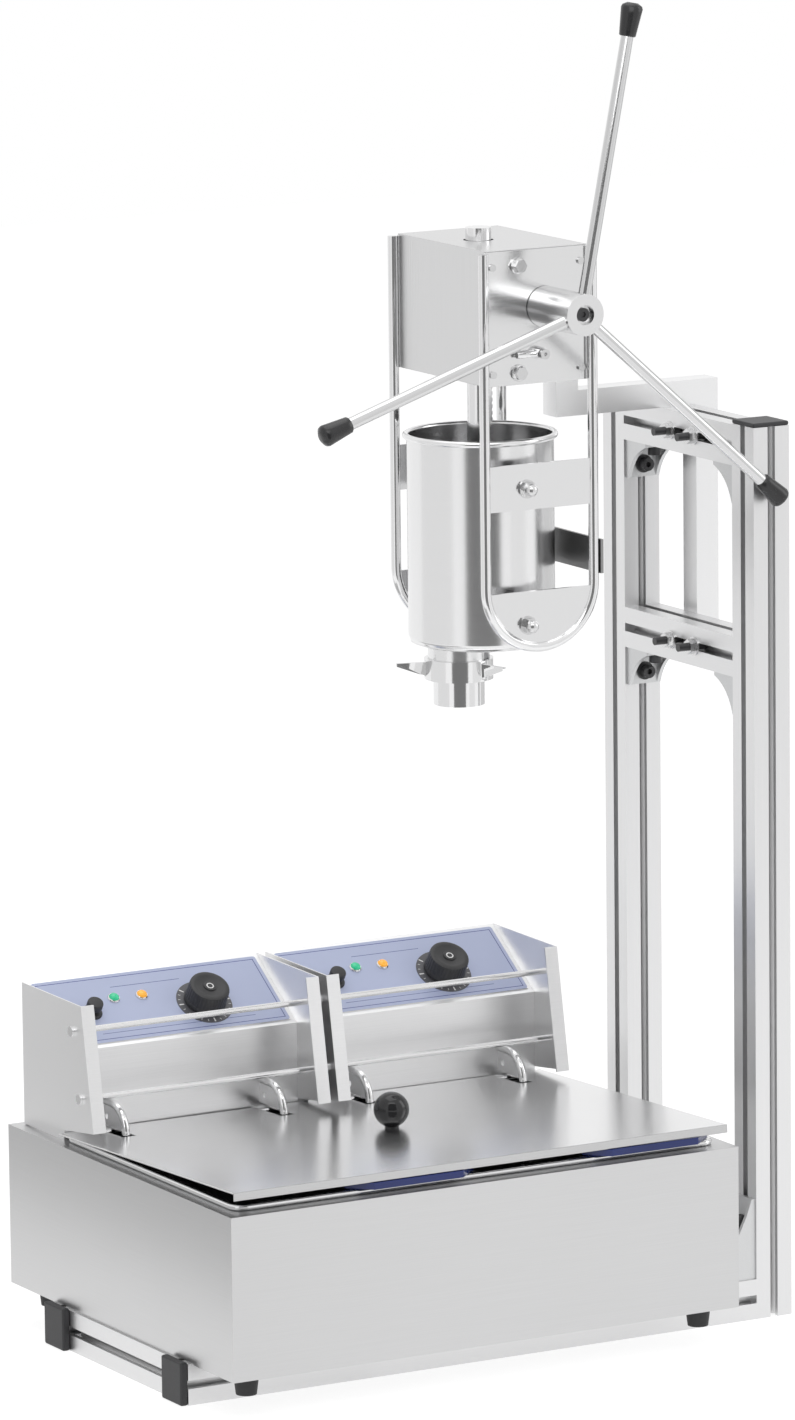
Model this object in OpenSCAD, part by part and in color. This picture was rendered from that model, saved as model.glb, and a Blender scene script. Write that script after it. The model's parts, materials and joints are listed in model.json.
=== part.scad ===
// Churro station: a rack-and-pinion dough press on a slotted-profile stand,
// with a two-tank electric fryer carried on the stand's foot rails.
// Millimetres. +X to the stand, +Y to the back of the fryer, +Z up.
// The origin is the middle of the overall box, on the floor.

/* [Fryer body] */
// Width of the fryer body, along X
body_w = 553; // [520:1:620]
// Depth of the fryer body, along Y
body_d = 459.5; // [440:0.5:520]
// Height of the fryer body
body_h = 158.5; // [150:0.5:190]
// Thickness of the folded sheet
sheet_t = 1.2; // [1:0.1:2]
// Diameter of a rubber foot
foot_d = 25; // [18:1:32]
// Height of a rubber foot
foot_h = 20; // [12:1:30]
// Distance of a foot from the body's edges
foot_inset = 29; // [20:1:50]

/* [Tanks] */
// Height of one tank
tank_h = 145; // [100:1:148]
// Gap between the two tanks
tank_gap = 17; // [12:1:30]
// Width of a tank's resting flange
tank_flange = 6; // [4:0.5:6]
// Distance of the raised rim from the front of the body
rim_inset = 20; // [18:0.5:24]
// Diameter of the raised rim
rim_d = 6; // [4:0.5:8]
// Length of a tank handle
handle_w = 140; // [100:1:180]
// Thickness of a tank handle
handle_t = 6.6; // [5:0.2:8]

/* [Lid] */
// Distance of the lid's sides from the sides of the body
lid_side = 7.5; // [6:0.5:20]
// Height of the lid's front lip
lid_lip = 8; // [5:0.5:9]
// Thickness of the lid
lid_t = 1.5; // [1:0.1:2]
// Diameter of the ball knob
ball_d = 34.5; // [25:0.5:45]

/* [Control heads] */
// Gap between the two control heads
control_gap = 11.5; // [8:0.5:20]
// Height of the control head's back above the deck
control_back_h = 141.5; // [120:0.5:160]
// Height of the control head's front above the deck
control_front_h = 86.5; // [70:0.5:100]
// Depth of the control head, along Y
control_d = 82; // [70:1:95]
// Diameter of the thermostat knob
knob_d = 42; // [30:1:48]
// Height of the thermostat knob
knob_h = 21; // [14:1:26]
// Diameter of the dial plate behind the knob
dial_d = 57; // [50:1:64]
// Diameter of a pilot lamp
lamp_d = 13; // [8:0.5:16]
// Diameter of a heating tube
heater_d = 8; // [6:0.5:9]
// Diameter of a guard rod
guard_rod_d = 6; // [4:0.5:8]

/* [Stand] */
// Side of the square slotted profile
profile_w = 40; // [40:1:45]
// Width of the profile's slot
slot_w = 8.2; // [8:0.1:10]
// Height of an upright without its cap
upright_h = 879; // [860:1:1000]
// Gap between the fryer body and the uprights
stand_gap = 72; // [70:0.5:110]
// Distance of the front upright's centre from the front of the body
upright_inset = 105; // [100:0.5:110]
// Distance of the rear upright's centre from the back of the body
upright_back = 111.2; // [105:0.1:120]
// Distance between the top and the mid cross rail
rail_sep = 207; // [160:1:260]
// Side of the square support tube
tube_w = 25; // [20:1:30]

/* [Press head] */
// Width of the head, along X
head_w = 111; // [105:0.5:120]
// Depth of the head, along Y
head_d = 163; // [155:0.5:185]
// Height of the head
head_h = 130; // [120:1:150]
// Height of the head's underside above the top cross rail
head_rise = 55; // [50:1:80]
// Distance of the press axis from the uprights
press_reach = 223.6; // [200:0.1:260]
// Thickness of the head's front and rear plates
plate_t = 3; // [2:0.5:5]
// Diameter of the rack rod
rod_d = 25; // [24:0.5:28]
// Length of one handwheel arm, from the axis to the knob's tip
arm_reach = 297; // [220:1:320]
// Diameter of a handwheel arm
arm_d = 12; // [8:0.5:14]
// Diameter of the handwheel hub
hub_d = 40; // [36:1:50]
// Gap between the handwheel's grips and the front upright
wheel_clear = 5.25; // [3:0.25:12]
// Gear module of the rack and the pinion
gear_m = 2; // [1.5:0.25:2]
// Teeth of the pinion
pinion_teeth = 14; // [12:2:16]

/* [Barrel] */
// Outer diameter of the barrel
barrel_d = 142; // [120:1:146]
// Height of the barrel
barrel_h = 205; // [160:1:205]
// Wall of the barrel
barrel_t = 2; // [1.5:0.25:3]
// Outer diameter of the outlet neck
neck_d = 60; // [50:1:64]
// Distance of the outlet neck from the barrel's axis
neck_offset = 26; // [0:1:32]
// Outer diameter of the nozzle
nozzle_d = 50; // [40:1:50]
// Bore of the nozzle's outlet
nozzle_bore = 30; // [16:1:36]
// Diameter of a yoke rod
yoke_d = 10; // [8:0.5:10]

/* [Hidden] */
$fn = 64;
// Overrun of every cut
cut = 1;
// Gap between pieces that only lie on each other
rest_gap = 0.3;
// Radial clearance of every running fit
run_fit = 0.05;
// Radial clearance of every fixed fit
fixed_fit = 0.02;

// Foot rails and their caps
rail_overhang = 3;
rail_cap_t = 8;
cap_t = 4.3;
rail_len = rail_overhang + body_w + stand_gap;
overall_w = rail_cap_t + rail_len + profile_w + tube_w;

// Width of a foot's end against its top
foot_end_share = 0.8;

// Places of the main pieces
body_x = -overall_w / 2 + rail_cap_t + rail_overhang;
body_y = -body_d / 2;
body_z = profile_w;
deck_z = body_z + body_h;
rail_x = body_x - rail_overhang;
upright_x = rail_x + rail_len;
front_y = body_y + upright_inset;
rear_y = body_y + body_d - upright_back;
upright_sep = rear_y - front_y;
stand_y = (front_y + rear_y) / 2;
cross_len = upright_sep - profile_w;
rail_drop = 1;
top_rail_z = upright_h - rail_drop;
mid_rail_z = top_rail_z - rail_sep;

// Profile slot
slot_lip = 4.5;
slot_cavity_w = 20;
slot_cavity_d = 7.5;
slot_floor_w = 8;
slot_step = 2;
core_d = 6.8;

// Control heads
control_left = 14.5;
control_right = 12;
control_behind = 9.5;
control_w = (body_w - control_left - control_right - control_gap) / 2;
control_x = [body_x + control_left, body_x + control_left + control_w + control_gap];
control_back = body_y + body_d - control_behind;
control_front = control_back - control_d;
panel_t = 1;
panel_slope = atan((control_back_h - control_front_h) / control_d);
panel_len = norm([control_back_h - control_front_h, control_d]);
panel_edge = 5;
wall_share = 1.2;
guard_t = 1.5;
guard_reach = 125;
guard_toe = 147;
guard_toe_z = 18.5;
guard_heel_z = 0.7;
guard_flange = 14;
high_rod = [25, 112.5];
low_rod = [40, 48.5];
rod_screw_d = 10;
rod_screw_t = 3;
knob_place = [173, 41];
green_place = [82, 61];
amber_place = [112.5, 60.5];
reset_place = [52, 46];
knob_grip_d = 39;
knob_skirt_h = 5;
knob_slope_h = 7;
knob_edge = 1;
lamp_bezel_t = 3;
lamp_tip_d = 10.4;
dial_t = 1.2;
spindle_d = 6;
knob_lift = 1;
reset_d = 16;
reset_h = 9;
reset_collar_d = 20;
reset_collar_t = 3;
reset_travel = 3;
gland_d = 16;
gland_len = 9;

// Raised rim, and the tanks inside it
rim_side = 13;
rim_corner = 12;
rim_gap = 1;
rim_clear = 1.4;
rim_front = body_y + rim_inset;
rim_back = control_front - rim_clear - rim_d / 2;
rim_left = body_x + rim_side + rim_d / 2;
rim_right = body_x + body_w - rim_side - rim_d / 2;
rim_z = deck_z + rim_d / 2;
tank_x = rim_left + rim_d / 2 + rim_gap + tank_flange;
tank_y = rim_front + rim_d / 2 + rest_gap + tank_flange;
tank_w = (rim_right - rim_left - rim_d - 2 * rim_gap - 2 * tank_flange - tank_gap) / 2;
tank_d = rim_back - rim_d / 2 - rest_gap - tank_flange - tank_y;
tank_corner = 20;
handle_d = 20;
handle_taper = 22;
handle_front = 5;
handle_z = deck_z + rim_d + rest_gap;
handle_stem_w = 16;
handle_side = 64;
left_handle_x = tank_x + tank_w - handle_side;
right_handle_x = left_handle_x + tank_w + tank_gap;

// Heating tubes
heater_bend = 28;
heater_side = 42;
heater_out_z = 36;
heater_reach = 49;
heater_xs = [for (x0 = control_x, x = [heater_side, control_w - heater_side]) x0 + x];
heater_floor = 32;
heater_front = 40;
cheek_t = 1.5;
cheek_low = 12;
cheek_gap = 0.5;
cheek_hole_d = 6;
cheek_hole = [10, 21];
cheek_steps = 8;

// Lid, sloping from the tank handles in front to the raised rim behind
lid_front = 8;
lid_clear = 2;
lid_x = body_x + lid_side;
lid_y = body_y + lid_front;
lid_w = body_w - 2 * lid_side;
lid_d = control_front - lid_clear - lid_y;
lid_lip_z = handle_z + handle_t + rest_gap;
lid_back_under = deck_z + rim_d + rest_gap;
lid_slope = asin((lid_lip_z + lid_lip - lid_t - lid_back_under) / lid_d);
lid_notch_gap = 3;
lid_notch_w = heater_d + 2 * lid_notch_gap;
lid_notch_d = heater_reach + heater_d / 2 + lid_notch_gap - lid_clear;
ball_stem_d = 14;
ball_stem_h = 2;
ball_x_share = 0.507;
ball_y = 186;

// Press axis and head
head_left = 41;
press_x = upright_x - press_reach;
press_shift = -4.9;
press_y = stand_y + press_shift;
head_x = press_x - head_left;
head_z = top_rail_z + head_rise;
head_front = press_y - head_d / 2;
head_back = press_y + head_d / 2;
head_top = head_z + head_h;
cover_t = sheet_t;
rod_hole_gap = 2;
screw_head_d = 7;
screw_head_t = 2.5;
screw_in = 7;
screw_low = 11.5;
screw_high = 16;
plate_screws = [for (x = [screw_in, head_w - screw_in], z = [screw_low, head_h - screw_high]) [x, z]];
hex_in = 35.5;
hex_af = 13;
hex_t = 5.5;
plate_hexes = [for (z = [screw_low, head_h - screw_high]) [hex_in, z]];
pawl_pivot = [58, 29];
pawl_reach = 23;
pawl_d = 8;
pawl_lever_d = 6;
pawl_boss_d = 12;
pawl_screw_d = 6;
pawl_head_d = 10;

// Rack and pinion
pressure_angle = 20;
backlash = 0.3;
tip_share = 0.85;
root_share = 1.2;
flank_steps = 5;
gear_face = 30;
pitch_r = gear_m * pinion_teeth / 2;
base_r = pitch_r * cos(pressure_angle);
tip_r = pitch_r + tip_share * gear_m;
root_r = pitch_r - root_share * gear_m;
half_tooth = 90 / pinion_teeth - backlash / 2 / pitch_r * 180 / PI
    + (tan(pressure_angle) * 180 / PI - pressure_angle);
tip_roll = sqrt(pow(tip_r / base_r, 2) - 1) * 180 / PI;
rack_pitch = 9.9;
rack_step = PI * gear_m;
rack_tip_share = 0.72;
rack_root = rack_pitch - root_share * gear_m;
space_half = rack_step / 4 + backlash / 2;
shaft_rise = 73;
shaft_x = press_x + rack_pitch + pitch_r;
shaft_z = head_z + shaft_rise;
shaft_d = 20;

// Bushes of the shaft and of the rod
bush_wall = 4;
bush_flange_d = 34;
bush_flange_t = 3;
bush_d = shaft_d + 2 * run_fit + 2 * bush_wall;
rod_bush_d = rod_d + 2 * run_fit + 2 * bush_wall;
guide_t = 8;
guide_w = 60;
rod_above = 12;
guide_zs = [head_z, head_top - cover_t - guide_t - rod_above];

// Handwheel
hub_gap = 1;
hub_back = head_front - plate_t - hub_gap;
hub_recess_d = 19;
hub_recess = 8;
hub_web = 8;
m8_bite = 22;
arm_angles = [78.6, 198.6, 318.6];
arm_inset = 8;
arm_root = 14;
grip_len = 32;
grip_neck = 5;
grip_edge = 1;
grip_small_d = 16;
grip_big_d = 21;
wheel_y = front_y - profile_w / 2 - wheel_clear - grip_big_d / 2;
hub_front = wheel_y - arm_inset;
hub_len = hub_back - hub_front;

// Fixing of the head to the support tube
side_plate_t = 5;
spacer_len = 35.2;
stub_x = head_x + head_w + spacer_len;
stub_rise = 70;
stub_top = head_z + stub_rise;
tube_back = 43;
tube_y = stand_y + tube_back;
tube_wall = 2;
spacer_d = 22;
spacer_rises = [15, 52];
spacer_zs = [for (rise = spacer_rises) head_z + rise];

// Fasteners
m8_d = 8;
m8_head_d = 13;
m8_head_h = 8;
m8_socket_d = 6;
washer_d = 18;
washer_t = 1.6;
nut_af = 13;
nut_h = 6.5;
lug_t = 5;
lug_h = 34;
lug_places = [-30.5, 13.5];
lug_ys = [for (place = lug_places) stand_y + place];
bolt_past = 19;

// Corner brackets
bracket_w = 36;
bracket_leg = 38;
bracket_t = 4;
bracket_hole_share = 0.66;
web_pull_share = 0.33;
web_steps = 6;
gusset_leg_z = 80;
gusset_leg_x = 62;

// Barrel, piston and outlet
barrel_gap = 55;
barrel_z = head_z - barrel_gap - barrel_h;
barrel_corner = 8;
knee_share = 0.3;
bead_d = 6;
neck_x = press_x - neck_offset;
neck_h = 13;
neck_t = 3;
ring_d = 67;
ring_h = 20;
ring_lip = 3;
ring_bore_d = neck_d + 2 * run_fit;
wing_angles = [165, 285, 45];
wing_reach = 62;
wing_t = 4;
wing_h = 14;
nozzle_h = 25;
tube_end_z = barrel_z - neck_h - ring_h;
piston_t = 14;
piston_gap = 1;
piston_lift = 3;
piston_above = 8;
piston_travel = head_z - barrel_z - piston_lift - piston_t - piston_above;
seal_h = 6;
seal_depth = 4;
rack_margin = 28;
rack_low = shaft_z - piston_travel - rack_margin;
rack_high = shaft_z + rack_margin;

// Yokes
yoke_out = 3;
yoke_y = head_d / 2 + plate_t + yoke_out;
yoke_rise = 1.3;
yoke_x = head_x + head_w / 2;
yoke_low = barrel_z + yoke_rise;
yoke_top = head_top - 2 * cover_t;
yoke_r = head_w / 2 + sqrt(pow(yoke_d / 2, 2) - pow(yoke_out, 2));
yoke_span = 2 * yoke_r;
weld = 0.5;
strap_t = 3;
strap_rise = 140;
strap_z = barrel_z + strap_rise;
strap_h = 44;
half_rise = 61;
half_top = barrel_z + half_rise;
back_strap_rise = 72;
back_strap_z = barrel_z + back_strap_rise;
back_strap_h = 33;
yoke_bolt_rises = [160, 28.4];
yoke_bolt_zs = [for (rise = yoke_bolt_rises) barrel_z + rise];
bolt_x = press_x - yoke_x;
dome_d = 12.8;

// Slotted profile

module slot_half_cut() {
    translate([profile_w / 2 - slot_lip, -slot_w / 2]) square([slot_lip + cut, slot_w]);
    outer = profile_w / 2 - slot_lip;
    polygon([[outer, -slot_cavity_w / 2], [outer, slot_cavity_w / 2],
        [outer - slot_step, slot_cavity_w / 2], [outer - slot_cavity_d, slot_floor_w / 2],
        [outer - slot_cavity_d, -slot_floor_w / 2], [outer - slot_step, -slot_cavity_w / 2]]);
}

module profile_2d() {
    difference() {
        square(profile_w, center = true);
        for (turn = [0 : 3]) rotate(turn * 90) slot_half_cut();
        circle(d = core_d);
    }
}

module profile_z(length) { linear_extrude(length) profile_2d(); }
module profile_x(length) { rotate([0, 90, 0]) profile_z(length); }
module profile_y(length) { rotate([-90, 0, 0]) profile_z(length); }

module front_upright() {
    color("silver") translate([upright_x + profile_w / 2, front_y, 0]) profile_z(upright_h);
}

module rear_upright() {
    color("silver") translate([upright_x + profile_w / 2, rear_y, 0]) profile_z(upright_h);
}

module upright_caps() {
    color("dimgray") for (y = [front_y, rear_y])
        translate([upright_x, y - profile_w / 2, upright_h]) cube([profile_w, profile_w, cap_t]);
}

// A rail between the uprights, drilled across for the bolts of the support bracket
module cross_rail(top_z) {
    difference() {
        translate([upright_x + profile_w / 2, front_y + profile_w / 2, top_z - profile_w / 2])
            profile_y(cross_len);
        for (y = lug_ys) translate([upright_x - cut, y, top_z - profile_w / 2]) rotate([0, 90, 0])
            cylinder(d = m8_d, h = profile_w + 2 * cut);
    }
}

module top_cross_rail() { color("silver") cross_rail(top_rail_z); }
module mid_cross_rail() { color("silver") cross_rail(mid_rail_z); }

module foot_rail(y) {
    translate([rail_x, y, profile_w / 2]) profile_x(rail_len);
}

module front_foot_rail() { color("silver") foot_rail(front_y); }
module rear_foot_rail() { color("silver") foot_rail(rear_y); }

module left_cross_rail() {
    color("silver") translate([rail_x + profile_w / 2, front_y + profile_w / 2, profile_w / 2])
        profile_y(cross_len);
}

module foot_rail_caps() {
    color("dimgray") for (y = [front_y, rear_y])
        translate([rail_x - rail_cap_t, y - profile_w / 2, 0])
            cube([rail_cap_t, profile_w, profile_w + cap_t / 2]);
}

// A cast corner bracket: two plates joined by two side webs, in the corner at the origin.
// Its legs run along +X and +Z, and it is centred on Y.
function web_edge(leg_x, leg_z) = [for (i = [0 : web_steps]) let (t = i / web_steps)
    (1 - t) * (1 - t) * [leg_x, bracket_t] + 2 * t * (1 - t) * web_pull_share * [leg_x, leg_z]
        + t * t * [bracket_t, leg_z]];

module corner_bracket(leg_x, leg_z) {
    hole_x = leg_x * bracket_hole_share;
    hole_z = leg_z * bracket_hole_share;
    difference() {
        union() {
            translate([0, -bracket_w / 2, 0]) cube([leg_x, bracket_w, bracket_t]);
            translate([0, -bracket_w / 2, 0]) cube([bracket_t, bracket_w, leg_z]);
            for (y = [bracket_w / 2, -bracket_w / 2 + bracket_t])
                translate([0, y, 0]) rotate([90, 0, 0]) linear_extrude(bracket_t)
                    polygon(concat([[0, leg_z], [0, 0], [leg_x, 0]], web_edge(leg_x, leg_z)));
        }
        translate([hole_x, 0, -cut]) cylinder(d = m8_d, h = bracket_t + 2 * cut);
        translate([-cut, 0, hole_z]) rotate([0, 90, 0]) cylinder(d = m8_d, h = bracket_t + 2 * cut);
    }
}

// Places of the four corner brackets: under each cross rail, beside each upright
module at_brackets() {
    for (z = [top_rail_z - profile_w, mid_rail_z - profile_w]) {
        translate([upright_x + profile_w / 2, front_y + profile_w / 2, z])
            rotate([180, 0, 90]) children();
        translate([upright_x + profile_w / 2, rear_y - profile_w / 2, z])
            rotate([180, 0, -90]) children();
    }
}

// Places of the gussets between the foot rails and the uprights
module at_gussets() {
    for (y = [front_y, rear_y]) translate([upright_x, y, profile_w]) rotate([0, 0, 180]) children();
}

module corner_brackets() {
    color("gainsboro") {
        at_brackets() corner_bracket(bracket_leg, bracket_leg);
        at_gussets() corner_bracket(gusset_leg_x, gusset_leg_z);
    }
}

// A socket screw standing on z = 0 with its washer, its shank reaching down into a slot
module socket_screw(grip) {
    difference() {
        union() {
            translate([0, 0, -grip]) cylinder(d = m8_d - 2 * fixed_fit, h = grip + washer_t);
            cylinder(d = washer_d, h = washer_t);
            translate([0, 0, washer_t]) cylinder(d = m8_head_d, h = m8_head_h);
        }
        translate([0, 0, washer_t + m8_head_h / 2])
            cylinder(d = m8_socket_d, h = m8_head_h, $fn = 6);
    }
}

module bracket_screw_pair(leg_x, leg_z) {
    grip = bracket_t + slot_lip + slot_cavity_d / 2;
    translate([leg_x * bracket_hole_share, 0, bracket_t]) socket_screw(grip);
    translate([bracket_t, 0, leg_z * bracket_hole_share]) rotate([0, 90, 0]) socket_screw(grip);
}

module bracket_screws() {
    color("darkgray") {
        at_brackets() bracket_screw_pair(bracket_leg, bracket_leg);
        at_gussets() bracket_screw_pair(gusset_leg_x, gusset_leg_z);
    }
}

// Square tube standing on z = 0, closed at its top
module square_tube(length) {
    difference() {
        translate([-tube_w / 2, -tube_w / 2, 0]) cube([tube_w, tube_w, length]);
        translate([-tube_w / 2 + tube_wall, -tube_w / 2 + tube_wall, -cut])
            cube([tube_w - 2 * tube_wall, tube_w - 2 * tube_wall, length - tube_wall + cut]);
    }
}

// Welded bracket: a post behind the rails, an arm over them and a stub behind the head
module support_bracket() {
    post_low = mid_rail_z - profile_w;
    color("gainsboro") {
        translate([upright_x + profile_w + tube_w / 2, tube_y, post_low])
            square_tube(top_rail_z + tube_w - post_low);
        translate([stub_x + tube_w / 2, tube_y, top_rail_z]) square_tube(stub_top - top_rail_z);
        difference() {
            translate([stub_x + tube_w, tube_y - tube_w / 2, top_rail_z])
                cube([upright_x + profile_w - stub_x - tube_w, tube_w, tube_w]);
            translate([stub_x + tube_w + tube_wall, tube_y - tube_w / 2 + tube_wall,
                    top_rail_z + tube_wall])
                cube([upright_x + profile_w - stub_x - tube_w - 2 * tube_wall,
                    tube_w - 2 * tube_wall, tube_w - 2 * tube_wall]);
        }
        for (z = [top_rail_z, mid_rail_z]) difference() {
            translate([upright_x + profile_w, lug_ys[0] - washer_d, z - profile_w / 2 - lug_h / 2])
                cube([lug_t, tube_y - tube_w / 2 - lug_ys[0] + washer_d, lug_h]);
            for (y = lug_ys) translate([upright_x + profile_w - cut, y, z - profile_w / 2])
                rotate([0, 90, 0]) cylinder(d = m8_d, h = lug_t + 2 * cut);
        }
    }
}

// Places of the bolts through the lugs and the rails, pointing to -X
module at_lugs() {
    for (z = [top_rail_z, mid_rail_z], y = lug_ys)
        translate([upright_x + profile_w, y, z - profile_w / 2]) rotate([0, -90, 0]) children();
}

module support_bolts() {
    color("darkgray") at_lugs() {
        translate([0, 0, -lug_t]) cylinder(d = m8_d - 2 * fixed_fit, h = lug_t + profile_w + bolt_past);
        translate([0, 0, -lug_t - m8_head_h / 2]) cylinder(d = m8_head_d, h = m8_head_h / 2, $fn = 6);
    }
}

module support_nuts() {
    color("darkgray") at_lugs() difference() {
        union() {
            translate([0, 0, profile_w]) cylinder(d = washer_d, h = washer_t);
            translate([0, 0, profile_w + washer_t])
                cylinder(d = nut_af / cos(30), h = nut_h, $fn = 6);
        }
        cylinder(d = m8_d, h = profile_w + bolt_past);
    }
}

// Press head

module head_side_plate() {
    color("gainsboro") difference() {
        translate([head_x + head_w - side_plate_t, head_front, head_z])
            cube([side_plate_t, head_d, head_h - cover_t]);
        for (z = spacer_zs) translate([head_x, tube_y, z]) rotate([0, 90, 0])
            cylinder(d = m8_d, h = head_w + cut);
    }
}

module head_spacers() {
    color("silver") for (z = spacer_zs) translate([head_x + head_w, tube_y, z]) rotate([0, 90, 0])
        difference() {
            cylinder(d = spacer_d, h = stub_x - head_x - head_w);
            translate([0, 0, -cut]) cylinder(d = m8_d, h = stub_x - head_x - head_w + 2 * cut);
        }
}

module head_bolts() {
    shank = stub_x - head_x - head_w + side_plate_t;
    color("darkgray") for (z = spacer_zs)
        translate([head_x + head_w - side_plate_t, tube_y, z]) rotate([0, 90, 0]) {
            cylinder(d = m8_d - 2 * fixed_fit, h = shank);
            translate([0, 0, -m8_head_h / 2]) cylinder(d = m8_head_d, h = m8_head_h / 2, $fn = 6);
        }
}

module head_plate(hole_d) {
    difference() {
        cube([head_w, plate_t, head_h - cover_t]);
        translate([shaft_x - head_x, -cut, shaft_z - head_z]) rotate([-90, 0, 0])
            cylinder(d = hole_d, h = plate_t + 2 * cut);
    }
}

module head_front_plate() {
    color("gainsboro") translate([head_x, head_front - plate_t, head_z]) head_plate(bush_d);
}

module head_rear_plate() {
    color("gainsboro") translate([head_x, head_back, head_z]) head_plate(bush_d);
}

// Folded cover: the head's left side and its top
module head_cover() {
    color("whitesmoke") {
        translate([head_x, head_front, head_z]) cube([cover_t, head_d, head_h - cover_t / 2]);
        difference() {
            translate([head_x, head_front - plate_t, head_top - cover_t])
                cube([head_w, head_d + 2 * plate_t, cover_t]);
            translate([press_x, press_y, head_top - cover_t - cut])
                cylinder(d = rod_d + 2 * rod_hole_gap, h = cover_t + 2 * cut);
        }
    }
}

module head_screws() {
    color("darkgray") for (side = [0, 1]) {
        face_y = side == 0 ? head_front - plate_t : head_back + plate_t;
        for (p = plate_screws) translate([head_x + p[0], face_y, head_z + p[1]])
            rotate([side == 0 ? 90 : -90, 0, 0]) cylinder(d = screw_head_d, h = screw_head_t);
        for (p = plate_hexes) translate([head_x + p[0], face_y, head_z + p[1]])
            rotate([side == 0 ? 90 : -90, 0, 0]) {
                cylinder(d = washer_d - washer_t, h = washer_t);
                translate([0, 0, washer_t]) cylinder(d = hex_af, h = hex_t, $fn = 6);
            }
    }
}

// Two plates across the head that hold the rod's bushes
module guide_plates() {
    color("silver") for (z = guide_zs) difference() {
        translate([press_x - guide_w / 2, head_front, z]) cube([guide_w, head_d, guide_t]);
        translate([press_x, press_y, z - cut]) cylinder(d = rod_bush_d, h = guide_t + 2 * cut);
    }
}

module rod_bushes() {
    color("darkgoldenrod") for (z = guide_zs) translate([press_x, press_y, z]) difference() {
        cylinder(d = rod_bush_d - 2 * fixed_fit, h = guide_t);
        translate([0, 0, -cut]) cylinder(d = rod_d + 2 * run_fit, h = guide_t + 2 * cut);
    }
}

module shaft_bush() {
    rotate([-90, 0, 0]) difference() {
        union() {
            cylinder(d = bush_d - 2 * fixed_fit, h = plate_t);
            translate([0, 0, plate_t]) cylinder(d = bush_flange_d, h = bush_flange_t);
        }
        translate([0, 0, -cut]) cylinder(d = shaft_d + 2 * run_fit, h = plate_t + bush_flange_t + 2 * cut);
    }
}

module shaft_bushes() {
    color("darkgoldenrod") {
        translate([shaft_x, head_front - plate_t, shaft_z]) shaft_bush();
        translate([shaft_x, head_back + plate_t, shaft_z]) rotate([0, 0, 180]) shaft_bush();
    }
}

// Involute pinion with a tooth on the -X side, where it meets the rack
function involute(t) = [cos(t) + t * PI / 180 * sin(t), sin(t) - t * PI / 180 * cos(t)];
function turned(p, a) = [p[0] * cos(a) - p[1] * sin(a), p[0] * sin(a) + p[1] * cos(a)];
function flank(a, side) = [for (i = [0 : flank_steps])
    turned([for (c = [0, 1]) base_r * involute(i * tip_roll / flank_steps)[c] * (c == 0 ? 1 : side)], a)];
function tooth(a) = concat(
    [root_r * [cos(a - half_tooth), sin(a - half_tooth)]],
    flank(a - half_tooth, 1),
    [for (i = [flank_steps : -1 : 0]) flank(a + half_tooth, -1)[i]],
    [root_r * [cos(a + half_tooth), sin(a + half_tooth)]]);

module pinion_2d() {
    polygon([for (k = [0 : pinion_teeth - 1]) each tooth(k * 360 / pinion_teeth)]);
}

module pinion_shaft() {
    shaft_front = hub_front + hub_recess + hub_web;
    color("silver") translate([shaft_x, 0, shaft_z]) {
        translate([0, shaft_front, 0]) rotate([-90, 0, 0]) difference() {
            cylinder(d = shaft_d, h = head_back + plate_t - shaft_front);
            translate([0, 0, -cut]) cylinder(d = m8_d, h = m8_bite + cut);
        }
        translate([0, press_y - gear_face / 2, 0]) rotate([-90, 0, 0]) linear_extrude(gear_face)
            pinion_2d();
    }
}

module handwheel_hub() {
    color("silver") translate([shaft_x, hub_front, shaft_z]) difference() {
        rotate([-90, 0, 0]) cylinder(d = hub_d, h = hub_len);
        rotate([-90, 0, 0]) translate([0, 0, -cut]) cylinder(d = hub_recess_d, h = hub_recess + cut);
        rotate([-90, 0, 0]) cylinder(d = m8_d, h = hub_recess + hub_web + cut);
        rotate([-90, 0, 0]) translate([0, 0, hub_recess + hub_web])
            cylinder(d = shaft_d + 2 * fixed_fit, h = hub_len);
        for (a = arm_angles) translate([0, arm_inset, 0]) rotate([0, 90 - a, 0])
            translate([0, 0, arm_root]) cylinder(d = arm_d + 2 * fixed_fit, h = hub_d);
    }
}

module at_arms() {
    for (a = arm_angles) translate([shaft_x, hub_front + arm_inset, shaft_z]) rotate([0, 90 - a, 0])
        children();
}

module handwheel_arms() {
    color("silver") at_arms() {
        translate([0, 0, arm_root]) cylinder(d = arm_d, h = arm_reach - grip_len - arm_root);
        translate([0, 0, arm_reach - grip_len]) cylinder(d = m8_d, h = grip_len / 2);
    }
}

module arm_grips() {
    color("black") at_arms() translate([0, 0, arm_reach - grip_len]) rotate_extrude()
        difference() {
            polygon([[0, 0], [grip_small_d / 2 - grip_edge, 0], [grip_small_d / 2, grip_edge],
                [grip_big_d / 2, grip_len - grip_neck],
                [grip_big_d / 2 - grip_edge, grip_len - grip_neck / 2],
                [grip_big_d / 4, grip_len], [0, grip_len]]);
            translate([-cut, -cut]) square([m8_d / 2 + fixed_fit + cut, grip_len / 2 + 2 * cut]);
        }
}

module hub_screw() {
    color("dimgray") translate([shaft_x, hub_front + hub_recess, shaft_z]) rotate([-90, 0, 0])
        difference() {
            union() {
                translate([0, 0, -hub_recess / 2]) cylinder(d = m8_head_d, h = hub_recess / 2);
                cylinder(d = m8_d - 2 * fixed_fit, h = hub_web + m8_bite - cut);
            }
            translate([0, 0, -hub_recess / 2 - cut])
                cylinder(d = m8_socket_d, h = hub_recess / 4 + cut, $fn = 6);
        }
}

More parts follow.
